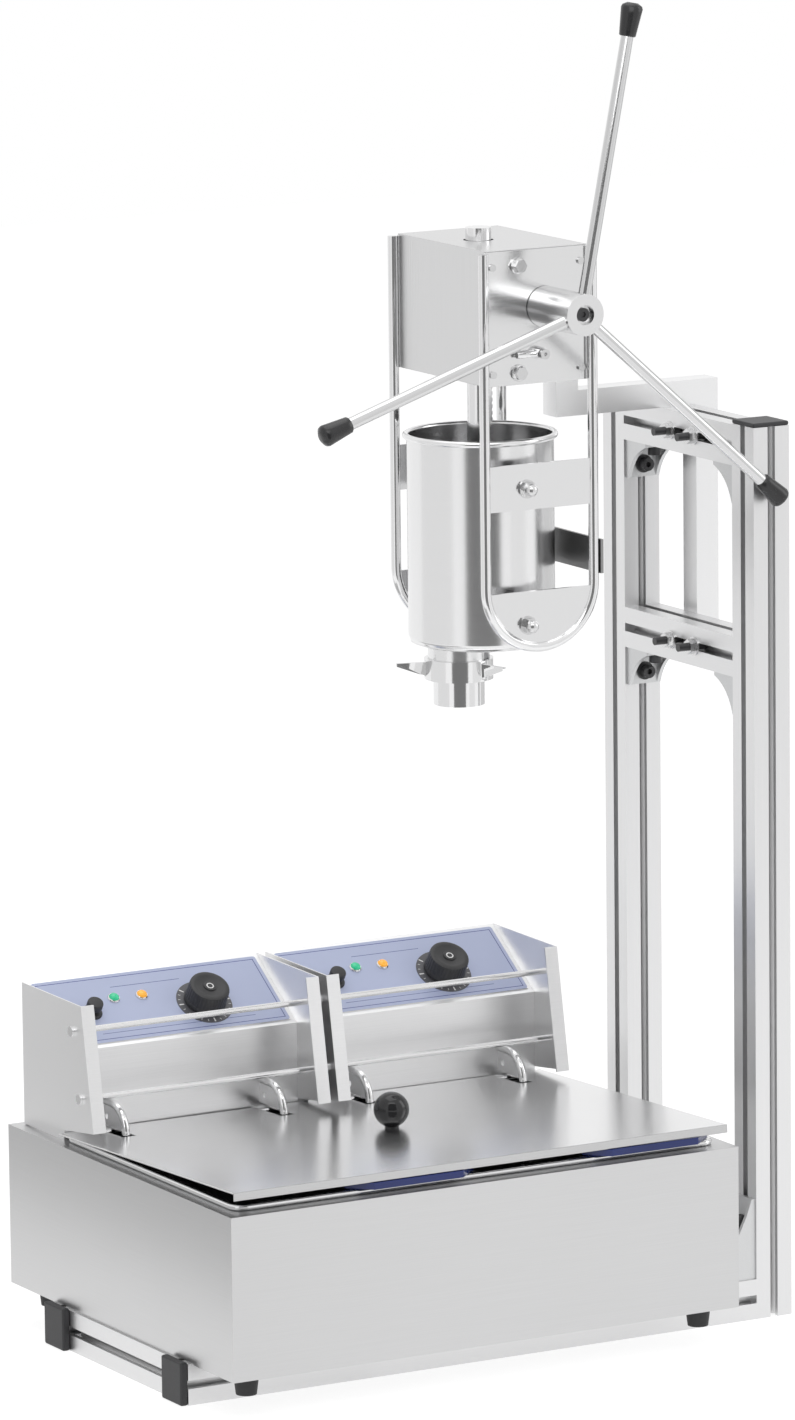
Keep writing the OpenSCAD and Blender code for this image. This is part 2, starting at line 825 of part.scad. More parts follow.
module pawl_lever() {
    color("silver") translate([head_x + pawl_pivot[0], head_front - plate_t, head_z + pawl_pivot[1]])
        difference() {
            union() {
                rotate([90, 0, 0]) translate([0, 0, rest_gap]) cylinder(d = pawl_boss_d, h = pawl_d);
                translate([0, -pawl_d / 2 - rest_gap, 0]) rotate([0, -90, 0])
                    cylinder(d = pawl_lever_d, h = pawl_reach);
                translate([-pawl_reach, -pawl_d / 2 - rest_gap, 0]) rotate([0, 90, 0])
                    cylinder(d1 = pawl_lever_d, d2 = pawl_d, h = pawl_d, center = true);
            }
            rotate([90, 0, 0]) cylinder(d = pawl_screw_d + 2 * run_fit, h = 2 * pawl_d);
        }
}

module pawl_screw() {
    color("dimgray") translate([head_x + pawl_pivot[0], head_front - plate_t, head_z + pawl_pivot[1]])
        rotate([90, 0, 0]) difference() {
            union() {
                cylinder(d = pawl_screw_d, h = pawl_d + 2 * rest_gap);
                translate([0, 0, pawl_d + 2 * rest_gap]) cylinder(d = pawl_head_d, h = pawl_d / 2);
            }
            translate([0, 0, pawl_d + pawl_d / 4]) cylinder(d = pawl_d / 2, h = pawl_d, $fn = 6);
        }
}

// Rack rod, with tooth spaces cut straight across its +X side

module rack_space() {
    slope = tan(pressure_angle);
    low = space_half - root_share * gear_m * slope;
    high = space_half + (rod_d / 2 - rack_pitch) * slope;
    rotate([90, 0, 0]) linear_extrude(rod_d, center = true)
        polygon([[rack_root, -low], [rod_d / 2 + cut, -high], [rod_d / 2 + cut, high], [rack_root, low]]);
}

module rack_rod() {
    low = barrel_z + piston_lift + piston_t;
    steps_down = floor((shaft_z - rack_low) / rack_step);
    steps_up = floor((rack_high - shaft_z) / rack_step);
    color("silver") translate([press_x, press_y, 0]) difference() {
        translate([0, 0, low]) cylinder(d = rod_d, h = head_top + rod_above - low);
        for (k = [-steps_down : steps_up]) translate([0, 0, shaft_z + k * rack_step]) rack_space();
        translate([rack_pitch + rack_tip_share * gear_m, -rod_d / 2, rack_low])
            cube([rod_d, rod_d, rack_high - rack_low]);
    }
}

module piston() {
    bore_r = barrel_d / 2 - barrel_t;
    color("whitesmoke") translate([press_x, press_y, barrel_z + piston_lift]) rotate_extrude()
        polygon([[0, 0], [bore_r - piston_gap - barrel_corner / 2, 0],
            [bore_r - piston_gap, barrel_corner / 2],
            [bore_r - piston_gap, (piston_t - seal_h) / 2], [bore_r - seal_depth, (piston_t - seal_h) / 2],
            [bore_r - seal_depth, (piston_t + seal_h) / 2], [bore_r - piston_gap, (piston_t + seal_h) / 2],
            [bore_r - piston_gap, piston_t], [0, piston_t]]);
}

module piston_seal() {
    bore_r = barrel_d / 2 - barrel_t;
    color("darkred") translate([press_x, press_y, barrel_z + piston_lift + (piston_t - seal_h) / 2])
        difference() {
            cylinder(r = bore_r - run_fit, h = seal_h);
            translate([0, 0, -cut]) cylinder(r = bore_r - seal_depth, h = seal_h + 2 * cut);
        }
}

// Barrel with a rolled bead, a coned floor corner and an offset outlet neck
module barrel() {
    r = barrel_d / 2;
    color("whitesmoke") difference() {
        union() {
            translate([press_x, press_y, barrel_z]) rotate_extrude() {
                polygon([[0, 0], [r - barrel_corner, 0],
                    [r - barrel_corner * knee_share, barrel_corner * knee_share],
                    [r, barrel_corner], [r, barrel_h - bead_d / 2], [r - barrel_t, barrel_h - bead_d / 2],
                    [r - barrel_t, barrel_t], [0, barrel_t]]);
                translate([r + bead_d / 2 - barrel_t, barrel_h - bead_d / 2]) circle(d = bead_d, $fn = 32);
            }
            translate([neck_x, press_y, barrel_z - neck_h - ring_h / 2])
                cylinder(d = neck_d, h = neck_h + ring_h / 2);
        }
        translate([neck_x, press_y, tube_end_z])
            cylinder(d = neck_d - 2 * neck_t, h = ring_h + neck_h + barrel_t + cut);
    }
}

module nozzle() {
    color("whitesmoke") translate([neck_x, press_y, tube_end_z]) difference() {
        union() {
            translate([0, 0, -nozzle_h]) cylinder(d = nozzle_d, h = nozzle_h + ring_lip);
            translate([0, 0, ring_lip]) cylinder(d = neck_d, h = ring_h / 2 - ring_lip);
        }
        translate([0, 0, -nozzle_h - cut]) cylinder(d = nozzle_bore, h = nozzle_h + ring_h);
    }
}

// Wing nut that holds the nozzle against the neck
module nozzle_ring() {
    color("gainsboro") translate([neck_x, press_y, tube_end_z]) {
        difference() {
            union() {
                cylinder(d = ring_d, h = ring_h);
                for (a = wing_angles) rotate(a) translate([0, -wing_t / 2, ring_lip])
                    rotate([90, 0, 0]) translate([0, 0, -wing_t]) linear_extrude(wing_t)
                        polygon([[ring_d / 2 - ring_lip, 0], [ring_d / 2 + wing_h / 2, ring_lip],
                            [wing_reach, wing_h - ring_lip], [wing_reach, wing_h],
                            [ring_d / 2 - ring_lip, wing_h]]);
            }
            translate([0, 0, ring_lip - rest_gap]) cylinder(d = ring_bore_d, h = ring_h);
            translate([0, 0, -cut]) cylinder(d = nozzle_d + 2 * run_fit, h = ring_h);
        }
    }
}

// Yokes

module yoke_rod() {
    arc_z = yoke_low + yoke_d / 2 + yoke_r;
    for (side = [-1, 1]) translate([side * yoke_r, 0, arc_z]) cylinder(d = yoke_d, h = yoke_top - arc_z);
    translate([0, 0, arc_z]) rotate([90, 180, 0]) rotate_extrude(angle = 180)
        translate([yoke_r, 0]) circle(d = yoke_d);
}

module yoke_plates() {
    inner = yoke_r - yoke_d / 2;
    arc_z = yoke_low + yoke_d / 2 + yoke_r;
    difference() {
        union() {
            translate([-inner - weld, -strap_t / 2, strap_z]) cube([2 * (inner + weld), strap_t, strap_h]);
            intersection() {
                translate([0, 0, arc_z]) rotate([90, 0, 0])
                    cylinder(r = inner + weld, h = strap_t, center = true);
                translate([-yoke_span, -yoke_span, 0]) cube([2 * yoke_span, 2 * yoke_span, half_top]);
            }
        }
        for (z = yoke_bolt_zs) translate([bolt_x, yoke_span / 2, z]) rotate([90, 0, 0])
            cylinder(d = m8_d, h = yoke_span);
    }
}

module yoke(y) {
    translate([yoke_x, y, 0]) {
        yoke_rod();
        yoke_plates();
    }
}

module front_yoke() { color("silver") yoke(press_y - yoke_y); }
module rear_yoke() { color("silver") yoke(press_y + yoke_y); }

module back_strap() {
    color("gray") translate([yoke_x + yoke_r + yoke_d / 2, press_y - yoke_y - yoke_d / 2, back_strap_z])
        cube([strap_t, 2 * yoke_y + yoke_d, back_strap_h]);
}

// Bolts through the yoke plates that bear on the barrel, with a dome nut outside
module yoke_bolts() {
    inner = yoke_y - barrel_d / 2;
    color("silver") for (turn = [0, 180], z = yoke_bolt_zs) translate([press_x, press_y, z])
        rotate([0, 0, turn]) translate([0, -yoke_y, 0]) rotate([90, 0, 0]) {
            translate([0, 0, -inner + rest_gap])
                cylinder(d = m8_d - 2 * fixed_fit, h = inner - rest_gap + strap_t + nut_h);
            translate([0, 0, strap_t / 2]) {
                cylinder(d = washer_d, h = washer_t);
                translate([0, 0, washer_t]) cylinder(d = nut_af / cos(30), h = nut_h, $fn = 6);
                translate([0, 0, washer_t + nut_h]) sphere(d = dome_d);
            }
            translate([0, 0, -inner + rest_gap]) cylinder(d = m8_head_d, h = nut_h / 2);
        }
}

// Fryer

module rounded_slab(w, d, h, r) {
    linear_extrude(h) union() {
        translate([r, 0]) square([w - 2 * r, d]);
        translate([0, r]) square([w, d - 2 * r]);
        for (x = [r, w - r], y = [r, d - r]) translate([x, y]) circle(r = r);
    }
}

module at_tanks() {
    for (k = [0, 1]) translate([tank_x + k * (tank_w + tank_gap), tank_y, 0]) children();
}

module fryer_body() {
    color("gainsboro") translate([body_x, body_y, body_z]) difference() {
        cube([body_w, body_d, body_h]);
        translate([sheet_t, sheet_t, sheet_t])
            cube([body_w - 2 * sheet_t, body_d - 2 * sheet_t, body_h - 2 * sheet_t]);
        translate([-body_x, -body_y, body_h - 2 * sheet_t]) at_tanks()
            translate([-rest_gap, -rest_gap, 0])
                rounded_slab(tank_w + 2 * rest_gap, tank_d + 2 * rest_gap, 3 * sheet_t, tank_corner);
    }
}

module fryer_feet() {
    color("black") for (x = [foot_inset, body_w - foot_inset], y = [foot_inset, body_d - foot_inset])
        translate([body_x + x, body_y + y, body_z - foot_h])
            cylinder(d1 = foot_d * foot_end_share, d2 = foot_d, h = foot_h);
}

module raised_rim() {
    w = rim_right - rim_left;
    d = rim_back - rim_front;
    color("silver") translate([rim_left, rim_front, rim_z]) {
        for (y = [0, d]) translate([rim_corner, y, 0]) rotate([0, 90, 0])
            cylinder(d = rim_d, h = w - 2 * rim_corner);
        for (x = [0, w]) translate([x, rim_corner, 0]) rotate([-90, 0, 0])
            cylinder(d = rim_d, h = d - 2 * rim_corner);
        for (c = [[rim_corner, rim_corner, 180], [w - rim_corner, rim_corner, 270],
                [w - rim_corner, d - rim_corner, 0], [rim_corner, d - rim_corner, 90]])
            translate([c[0], c[1], 0]) rotate(c[2]) rotate_extrude(angle = 90)
                translate([rim_corner, 0]) circle(d = rim_d, $fn = 32);
    }
}

// One tank: a pan that hangs in the deck by its flange
module tank() {
    difference() {
        union() {
            translate([0, 0, deck_z - tank_h]) rounded_slab(tank_w, tank_d, tank_h, tank_corner);
            translate([-tank_flange, -tank_flange, deck_z])
                rounded_slab(tank_w + 2 * tank_flange, tank_d + 2 * tank_flange, sheet_t,
                    tank_corner + tank_flange);
        }
        translate([sheet_t, sheet_t, deck_z - tank_h + sheet_t])
            rounded_slab(tank_w - 2 * sheet_t, tank_d - 2 * sheet_t, tank_h + 2 * sheet_t,
                tank_corner - sheet_t);
    }
}

module left_tank() {
    color("silver") translate([tank_x, tank_y, 0]) tank();
}

module right_tank() {
    color("silver") translate([tank_x + tank_w + tank_gap, tank_y, 0]) tank();
}

module tank_handles() {
    color("navy") for (x = [left_handle_x, right_handle_x]) translate([x, 0, 0]) {
        translate([0, body_y + handle_front, handle_z]) linear_extrude(handle_t)
            polygon([[-handle_w / 2, handle_d], [-handle_w / 2 + handle_taper, 0],
                [handle_w / 2 - handle_taper, 0], [handle_w / 2, handle_d]]);
        for (side = [-1, 1]) translate([side * handle_w / 4 - handle_stem_w / 2,
                body_y + handle_front + handle_d - cut, handle_z])
            cube([handle_stem_w, tank_y - body_y - handle_front - handle_d + cut, sheet_t]);
        for (side = [-1, 1]) translate([side * handle_w / 4 - handle_stem_w / 2,
                tank_y - sheet_t, deck_z + sheet_t])
            cube([handle_stem_w, sheet_t, handle_z - deck_z]);
    }
}

// The lid is drawn flat with its front edge at the origin, then tipped
module at_lid() {
    translate([lid_x, lid_y, lid_lip_z + lid_lip]) rotate([-lid_slope, 0, 0]) children();
}

module fryer_lid() {
    color("whitesmoke") at_lid() difference() {
        union() {
            translate([0, 0, -lid_t]) cube([lid_w, lid_d, lid_t]);
            translate([0, 0, -lid_lip]) cube([lid_w, lid_t, lid_lip]);
        }
        for (x = heater_xs)
            translate([x - lid_x - lid_notch_w / 2, lid_d - lid_notch_d, -2 * lid_t])
                cube([lid_notch_w, lid_notch_d + cut, 4 * lid_t]);
        translate([lid_w * ball_x_share, ball_y, -2 * lid_t]) cylinder(d = m8_d, h = 3 * lid_t);
    }
}

module lid_knob() {
    color("black") at_lid() translate([lid_w * ball_x_share, ball_y, 0]) {
        cylinder(d = ball_stem_d, h = ball_stem_h);
        translate([0, 0, ball_stem_h + ball_d / 2 - lid_t]) sphere(d = ball_d);
        translate([0, 0, -lid_t]) cylinder(d = m8_d - 2 * fixed_fit, h = 2 * lid_t);
    }
}

// Control heads

module control_outline(t) {
    polygon([[t, t], [control_d - t, t], [control_d - t, control_back_h - t * wall_share],
        [t, control_front_h - t * wall_share]]);
}

// Places a shape drawn on the sloped panel: x across, y up the slope, z off the panel
module on_panel(x0) {
    translate([x0, control_front, deck_z + control_front_h]) rotate([panel_slope, 0, 0]) children();
}

// A plate under the bend of a heating tube: x is its reach forward, y its height above the deck
module heater_cheek() {
    r = heater_bend - heater_d / 2 - cheek_gap;
    centre = [heater_reach - heater_bend, heater_out_z - heater_bend];
    last = acos((cheek_low - centre[1]) / r);
    difference() {
        polygon(concat([[-sheet_t, cheek_low], [-sheet_t, centre[1] + r]],
            [for (i = [0 : cheek_steps]) let (a = i * last / cheek_steps) centre + r * [sin(a), cos(a)]]));
        translate(cheek_hole) circle(d = cheek_hole_d);
    }
}

module control_head(x0) {
    for (x = [heater_side, control_w - heater_side])
        translate([x0 + x + cheek_t / 2, control_front, deck_z]) rotate([90, 0, -90])
            linear_extrude(cheek_t) heater_cheek();
    difference() {
        translate([x0, control_front, deck_z]) rotate([90, 0, 90]) linear_extrude(control_w)
            control_outline(0);
        translate([x0 + sheet_t, control_front, deck_z]) rotate([90, 0, 90])
            linear_extrude(control_w - 2 * sheet_t) control_outline(sheet_t);
        on_panel(x0) translate([knob_place[0], knob_place[1], -4 * sheet_t])
            cylinder(d = spindle_d + 2 * run_fit, h = 8 * sheet_t);
        on_panel(x0) translate([reset_place[0], reset_place[1], -4 * sheet_t])
            cylinder(d = spindle_d + 2 * run_fit, h = 8 * sheet_t);
    }
    on_panel(x0) difference() {
        translate([panel_edge, panel_edge, 0])
            cube([control_w - 2 * panel_edge, panel_len - 2 * panel_edge, panel_t]);
        for (p = [knob_place, reset_place]) translate([p[0], p[1], -cut])
            cylinder(d = spindle_d + 2 * run_fit, h = panel_t + 2 * cut);
    }
    translate([x0 + control_w / 2, control_back, deck_z + control_front_h / 2]) rotate([-90, 0, 0])
        cylinder(d = gland_d, h = gland_len);
}

module left_control_head() { color("lightsteelblue") control_head(control_x[0]); }
module right_control_head() { color("lightsteelblue") control_head(control_x[1]); }

// A side guard: a flat cheek with a flange turned in along its front edge
module side_guard(inward) {
    top_z = control_back_h - guard_t;
    lean = atan((guard_toe - guard_reach) / (top_z - guard_toe_z));
    edge = guard_t / cos(lean);
    rotate([90, 0, 90]) linear_extrude(guard_t)
        polygon([[0, guard_heel_z], [0, control_back_h], [-guard_reach, top_z], [-guard_toe, guard_toe_z]]);
    translate([inward > 0 ? 0 : guard_t - guard_flange, 0, 0]) rotate([90, 0, 90])
        linear_extrude(guard_flange)
            polygon([[-guard_toe, guard_toe_z], [-guard_toe + edge, guard_toe_z],
                [-guard_reach + edge, top_z], [-guard_reach, top_z]]);
}

module side_guards() {
    color("gainsboro") for (x0 = control_x) {
        translate([x0 - guard_t, control_back, deck_z]) side_guard(1);
        translate([x0 + control_w, control_back, deck_z]) side_guard(-1);
    }
}

module guard_rods() {
    color("silver") for (x0 = control_x, p = [high_rod, low_rod])
        translate([x0, control_front - p[0], deck_z + p[1]]) rotate([0, 90, 0]) {
            cylinder(d = guard_rod_d, h = control_w);
            translate([0, 0, control_w + guard_t]) cylinder(d = rod_screw_d, h = rod_screw_t);
            translate([0, 0, -guard_t - rod_screw_t]) cylinder(d = rod_screw_d, h = rod_screw_t);
        }
}

module dials_and_collars() {
    color("dimgray") for (x0 = control_x) on_panel(x0) difference() {
        translate([knob_place[0], knob_place[1], panel_t]) cylinder(d = dial_d, h = dial_t);
        translate([knob_place[0], knob_place[1], -cut])
            cylinder(d = spindle_d + 2 * run_fit, h = panel_t + dial_t + 2 * cut);
    }
    color("dimgray") for (x0 = control_x) on_panel(x0) difference() {
        translate([reset_place[0], reset_place[1], panel_t])
            cylinder(d = reset_collar_d, h = reset_collar_t);
        translate([reset_place[0], reset_place[1], -cut])
            cylinder(d = spindle_d + 2 * run_fit, h = panel_t + reset_collar_t + 2 * cut);
    }
}

module pilot_lamps() {
    for (x0 = control_x) on_panel(x0) {
        color("green") translate([green_place[0], green_place[1], panel_t])
            cylinder(d1 = lamp_d, d2 = lamp_tip_d, h = lamp_bezel_t);
        color("orange") translate([amber_place[0], amber_place[1], panel_t])
            cylinder(d1 = lamp_d, d2 = lamp_tip_d, h = lamp_bezel_t);
    }
}

module thermostat_knob(x0) {
    on_panel(x0) translate([knob_place[0], knob_place[1], 0]) {
        translate([0, 0, -3 * sheet_t])
            cylinder(d = spindle_d, h = 3 * sheet_t + panel_t + dial_t + knob_lift);
        translate([0, 0, panel_t + dial_t + knob_lift]) rotate_extrude()
            polygon([[0, 0], [knob_d / 2, 0], [knob_d / 2, knob_skirt_h],
                [knob_grip_d / 2 + knob_edge, knob_slope_h], [knob_grip_d / 2, knob_h - knob_edge],
                [knob_grip_d / 2 - knob_edge, knob_h], [0, knob_h]]);
    }
}

module left_thermostat_knob() { color("black") thermostat_knob(control_x[0]); }
module right_thermostat_knob() { color("black") thermostat_knob(control_x[1]); }

module reset_button(x0) {
    on_panel(x0) translate([reset_place[0], reset_place[1], 0]) {
        translate([0, 0, -3 * sheet_t])
            cylinder(d = spindle_d, h = 3 * sheet_t + panel_t + reset_collar_t + reset_travel + rest_gap);
        translate([0, 0, panel_t + reset_collar_t + reset_travel + rest_gap])
            cylinder(d = reset_d, h = reset_h);
    }
}

module left_reset_button() { color("black") reset_button(control_x[0]); }
module right_reset_button() { color("black") reset_button(control_x[1]); }

// Heating tubes: each runs out of the head, down into the tank, round it and back

// A quarter bend about the origin, in the quadrant that the turn picks
module tube_bend(turn) {
    rotate(turn) rotate_extrude(angle = 90) translate([heater_bend, 0]) circle(d = heater_d, $fn = 32);
}

module heater_tube(left, right, back_y, drop_y, out_z, floor_z, near_y) {
    r = heater_bend;
    for (x = [left, right]) {
        translate([x, drop_y + r, out_z]) rotate([-90, 0, 0])
            cylinder(d = heater_d, h = back_y - drop_y - r);
        translate([x, drop_y + r, out_z - r]) rotate([90, 0, 90]) tube_bend(90);
        translate([x, drop_y, floor_z + r]) cylinder(d = heater_d, h = out_z - floor_z - 2 * r);
        translate([x, drop_y - r, floor_z + r]) rotate([90, 0, 90]) tube_bend(270);
        translate([x, near_y + r, floor_z]) rotate([-90, 0, 0])
            cylinder(d = heater_d, h = drop_y - near_y - 2 * r);
    }
    translate([left + r, near_y, floor_z]) rotate([0, 90, 0])
        cylinder(d = heater_d, h = right - left - 2 * r);
    translate([left + r, near_y + r, floor_z]) tube_bend(180);
    translate([right - r, near_y + r, floor_z]) tube_bend(270);
}

module heating_tubes() {
    color("silver") for (x0 = control_x)
        heater_tube(x0 + heater_side, x0 + control_w - heater_side, control_front,
            control_front - heater_reach, deck_z + heater_out_z, deck_z - tank_h + heater_floor,
            tank_y + heater_front);
}

front_upright();
rear_upright();
upright_caps();
top_cross_rail();
mid_cross_rail();
front_foot_rail();
rear_foot_rail();
left_cross_rail();
foot_rail_caps();
corner_brackets();
bracket_screws();
support_bracket();
support_bolts();
support_nuts();
head_side_plate();
head_spacers();
head_bolts();
head_front_plate();
head_rear_plate();
head_cover();
head_screws();
guide_plates();
rod_bushes();
shaft_bushes();
pinion_shaft();
handwheel_hub();
handwheel_arms();
arm_grips();
hub_screw();
pawl_lever();
pawl_screw();
rack_rod();
piston();
piston_seal();
barrel();
nozzle_ring();
nozzle();
front_yoke();
rear_yoke();
back_strap();
yoke_bolts();
fryer_body();
fryer_feet();
raised_rim();
left_tank();
right_tank();
tank_handles();
fryer_lid();
lid_knob();
left_control_head();
right_control_head();
side_guards();
guard_rods();
dials_and_collars();
pilot_lamps();
left_thermostat_knob();
right_thermostat_knob();
left_reset_button();
right_reset_button();
heating_tubes();
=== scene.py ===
"""Looks of the churro station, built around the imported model. Metres, +Z up."""

import json
import math

import bmesh
import bpy
import numpy as np
from mathutils import Matrix, Vector


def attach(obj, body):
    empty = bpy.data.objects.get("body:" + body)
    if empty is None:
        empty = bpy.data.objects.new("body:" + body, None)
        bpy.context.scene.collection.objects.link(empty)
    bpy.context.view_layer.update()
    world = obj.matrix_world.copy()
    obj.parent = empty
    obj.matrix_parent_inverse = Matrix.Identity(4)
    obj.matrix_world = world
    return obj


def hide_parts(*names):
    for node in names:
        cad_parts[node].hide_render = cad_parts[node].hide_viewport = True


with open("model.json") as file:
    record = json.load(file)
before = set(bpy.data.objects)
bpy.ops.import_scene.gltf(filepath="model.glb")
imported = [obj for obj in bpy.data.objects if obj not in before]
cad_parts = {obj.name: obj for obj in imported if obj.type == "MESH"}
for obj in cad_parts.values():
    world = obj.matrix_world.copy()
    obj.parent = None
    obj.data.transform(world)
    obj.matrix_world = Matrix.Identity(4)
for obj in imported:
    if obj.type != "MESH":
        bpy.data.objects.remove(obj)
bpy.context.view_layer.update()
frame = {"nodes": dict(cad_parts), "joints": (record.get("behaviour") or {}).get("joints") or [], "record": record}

MM = 0.001
JOINTS = {joint["name"]: joint for joint in frame["joints"]}
BODY_OF = {node: body for body, nodes in frame["record"]["behaviour"]["bodies"].items() for node in nodes}
SLOT_OF = {part["node"]: part["material_slot"] for part in frame["record"]["subparts"]}


# Camera, fitted to the photograph

EYE = Vector((-4.0455, -7.1946, 2.1063))
VIEW_TURN = math.radians(-29.18)
VIEW_DROP = math.radians(10.27)
VIEW_ROLL = math.radians(-0.64)
LENS = 220.9
SENSOR = 36.0
VIEW_END = 100.0


def make_camera():
    """A long lens, turned about the vertical, tipped down and rolled a little."""
    data = bpy.data.cameras.new("camera")
    data.sensor_fit = "VERTICAL"
    data.sensor_height = SENSOR
    data.lens = LENS
    data.clip_end = VIEW_END
    camera = bpy.data.objects.new("camera", data)
    turn = Matrix.Rotation(VIEW_TURN, 4, "Z")
    tip = Matrix.Rotation(math.pi / 2 - VIEW_DROP, 4, "X")
    roll = Matrix.Rotation(VIEW_ROLL, 4, "Z")
    camera.matrix_world = Matrix.Translation(EYE) @ turn @ tip @ roll
    bpy.context.scene.collection.objects.link(camera)
    bpy.context.scene.camera = camera


make_camera()


# Materials

class Value:
    """A number worked out in a material. Arithmetic on it adds Math nodes."""

    def __init__(self, paint, socket):
        self.paint = paint
        self.socket = socket

    def math(self, operation, *others):
        return self.paint.node("ShaderNodeMath", {"operation": operation}, dict(enumerate((self, *others))))

    def __add__(self, other):
        return self.math("ADD", other)

    def __sub__(self, other):
        return self.math("SUBTRACT", other)

    def __mul__(self, other):
        return self.math("MULTIPLY", other)

    def __gt__(self, other):
        return self.math("GREATER_THAN", other)

    def __lt__(self, other):
        return self.math("LESS_THAN", other)

    def __or__(self, other):
        return self.math("MAXIMUM", other)

    def __abs__(self):
        return self.math("ABSOLUTE")


class Paint:
    """One material with a Principled surface, built from node() calls."""

    def __init__(self, name, **sockets):
        self.material = bpy.data.materials.new(name)
        self.material.use_nodes = True
        self.tree = self.material.node_tree
        self.surface = self.tree.nodes["Principled BSDF"]
        self.set(**sockets)

    def put(self, socket, value):
        """Links a Value to a socket, or sets the socket to a number or colour."""
        if isinstance(value, Value):
            self.tree.links.new(value.socket, socket)
        elif isinstance(value, tuple) and socket.type == "RGBA":
            socket.default_value = (*value, 1.0)
        else:
            socket.default_value = value

    def node(self, kind, settings=None, sockets=None, out=0):
        """Adds a node with its settings and inputs, and gives one of its outputs."""
        made = self.tree.nodes.new(kind)
        for key, value in (settings or {}).items():
            setattr(made, key, value)
        for key, value in (sockets or {}).items():
            self.put(made.inputs[key], value)
        return Value(self, made.outputs[out])

    def set(self, **sockets):
        for key, value in sockets.items():
            self.put(self.surface.inputs[key.replace("_", " ").title()], value)

    def place(self):
        return self.node("ShaderNodeTexCoord", out="Object")

    def axes(self):
        """The three Object coordinates, each as a Value."""
        split = self.tree.nodes.new("ShaderNodeSeparateXYZ")
        self.put(split.inputs[0], self.place())
        return [Value(self, out) for out in split.outputs]

    def noise(self, scale, stretch=(1.0, 1.0, 1.0), detail=2.0):
        place = self.node("ShaderNodeMapping", None, {"Vector": self.place(), "Scale": stretch})
        return self.node("ShaderNodeTexNoise", None, {"Vector": place, "Scale": scale, "Detail": detail}, "Fac")

    def blend(self, factor, low, high):
        return self.node("ShaderNodeMix", {"data_type": "RGBA"}, {0: factor, 6: low, 7: high}, 2)

    def bump(self, height, depth):
        return self.node("ShaderNodeBump", None, {"Height": height, "Distance": depth, "Strength": 1.0})


def tint(colour, factor):
    return tuple(channel * factor for channel in colour)


def grey(level):
    """A grey with a faint cold cast."""
    return (level, level, level * 1.005)


def swing(noise, spread):
    """Noise moved to swing around zero."""
    return (noise - 0.5) * spread


# Brush lines are noise with many steps across the grain and few along it, in steps per metre.
BRUSH = 2500.0
ALONG = 12.0
BY_X = (ALONG, BRUSH, BRUSH)
BY_Y = (BRUSH, ALONG, BRUSH)
BY_Z = (BRUSH, BRUSH, ALONG)
LEVEL = (ALONG, ALONG, BRUSH)
EVEN = (700.0, 700.0, 700.0)

LINE_DETAIL = 3.0
LINE_ROUGH = 0.12
CLOUD_ROUGH = 0.08
CLOUD_SCALE = 5.0
BRUSH_DEPTH = 0.00002
POLISH_DEPTH = 0.000008
BAR_DEPTH = 0.000004


def steel(name, level, rough, grain, streak=0.06, depth=BRUSH_DEPTH):
    """Metal with fine brush lines, which vary its colour by streak and its height by depth.
    The level is a grey or a colour."""
    paint = Paint(name, metallic=1.0)
    colour = level if isinstance(level, tuple) else grey(level)
    lines = paint.noise(1.0, grain, LINE_DETAIL)
    cloud = paint.noise(CLOUD_SCALE)
    paint.set(base_color=paint.blend(lines, tint(colour, 1.0 - streak), tint(colour, 1.0 + streak)),
              roughness=swing(lines, LINE_ROUGH) + swing(cloud, CLOUD_ROUGH) + rough,
              normal=paint.bump(lines, depth))
    return paint.material


# The lid's folded front lip lies in front of this; it gets a painted shade.
LIP_BACK = -220.3 * MM
LID_ROUGH = 0.22
LID_CLOUD_ROUGH = 0.10


def lid_metal():
    """Polished lid with brush lines across it, and painted shade on its folded front lip, where a darker grey
    holds down the lamps' glare.
    """
    paint = Paint("polished lid stainless", metallic=1.0)
    lines = paint.noise(1.0, BY_X, LINE_DETAIL)
    cloud = paint.noise(CLOUD_SCALE)
    lip_painted_shade = paint.axes()[1] < LIP_BACK
    sheet = paint.blend(lines, grey(0.74), grey(0.86))
    # Painted shade: the front lip's darker grey keeps it from lighting up as bright as the lid's top. It is the
    # same sheet, not a different finish.
    paint.set(base_color=paint.blend(lip_painted_shade, sheet, grey(0.52)),
              roughness=swing(lines, LINE_ROUGH) + swing(cloud, LID_CLOUD_ROUGH) + LID_ROUGH,
              normal=paint.bump(lines, BRUSH_DEPTH))
    return paint.material


BLAST_SCALE = 1400.0
BLAST_ROUGH = 0.42
BLAST_SWING = 0.15
BLAST_DEPTH = 0.00008


def cast():
    """Blasted cast aluminium: a fine even grain."""
    paint = Paint("blasted cast aluminium", metallic=1.0)
    grain = paint.noise(BLAST_SCALE, detail=LINE_DETAIL)
    paint.set(base_color=paint.blend(grain, (0.56, 0.565, 0.57), (0.70, 0.705, 0.71)),
              roughness=swing(grain, BLAST_SWING) + BLAST_ROUGH, normal=paint.bump(grain, BLAST_DEPTH))
    return paint.material


MOULD_SCALE = 900.0
MOULD_DEPTH = 0.00003
MOULD_SWING = 0.10
MOULD_CLOUD_SCALE = 30.0
MOULD_LIGHT = 1.5


def plastic(name, colour, rough, grain=MOULD_SCALE, depth=MOULD_DEPTH):
    """Moulded plastic: a fine leathery grain and slightly uneven gloss."""
    paint = Paint(name, metallic=0.0)
    grains = paint.noise(grain)
    cloud = paint.noise(MOULD_CLOUD_SCALE, detail=1.0)
    paint.set(base_color=paint.blend(cloud, colour, tint(colour, MOULD_LIGHT)),
              roughness=swing(grains, MOULD_SWING) + rough, normal=paint.bump(grains, depth))
    return paint.material


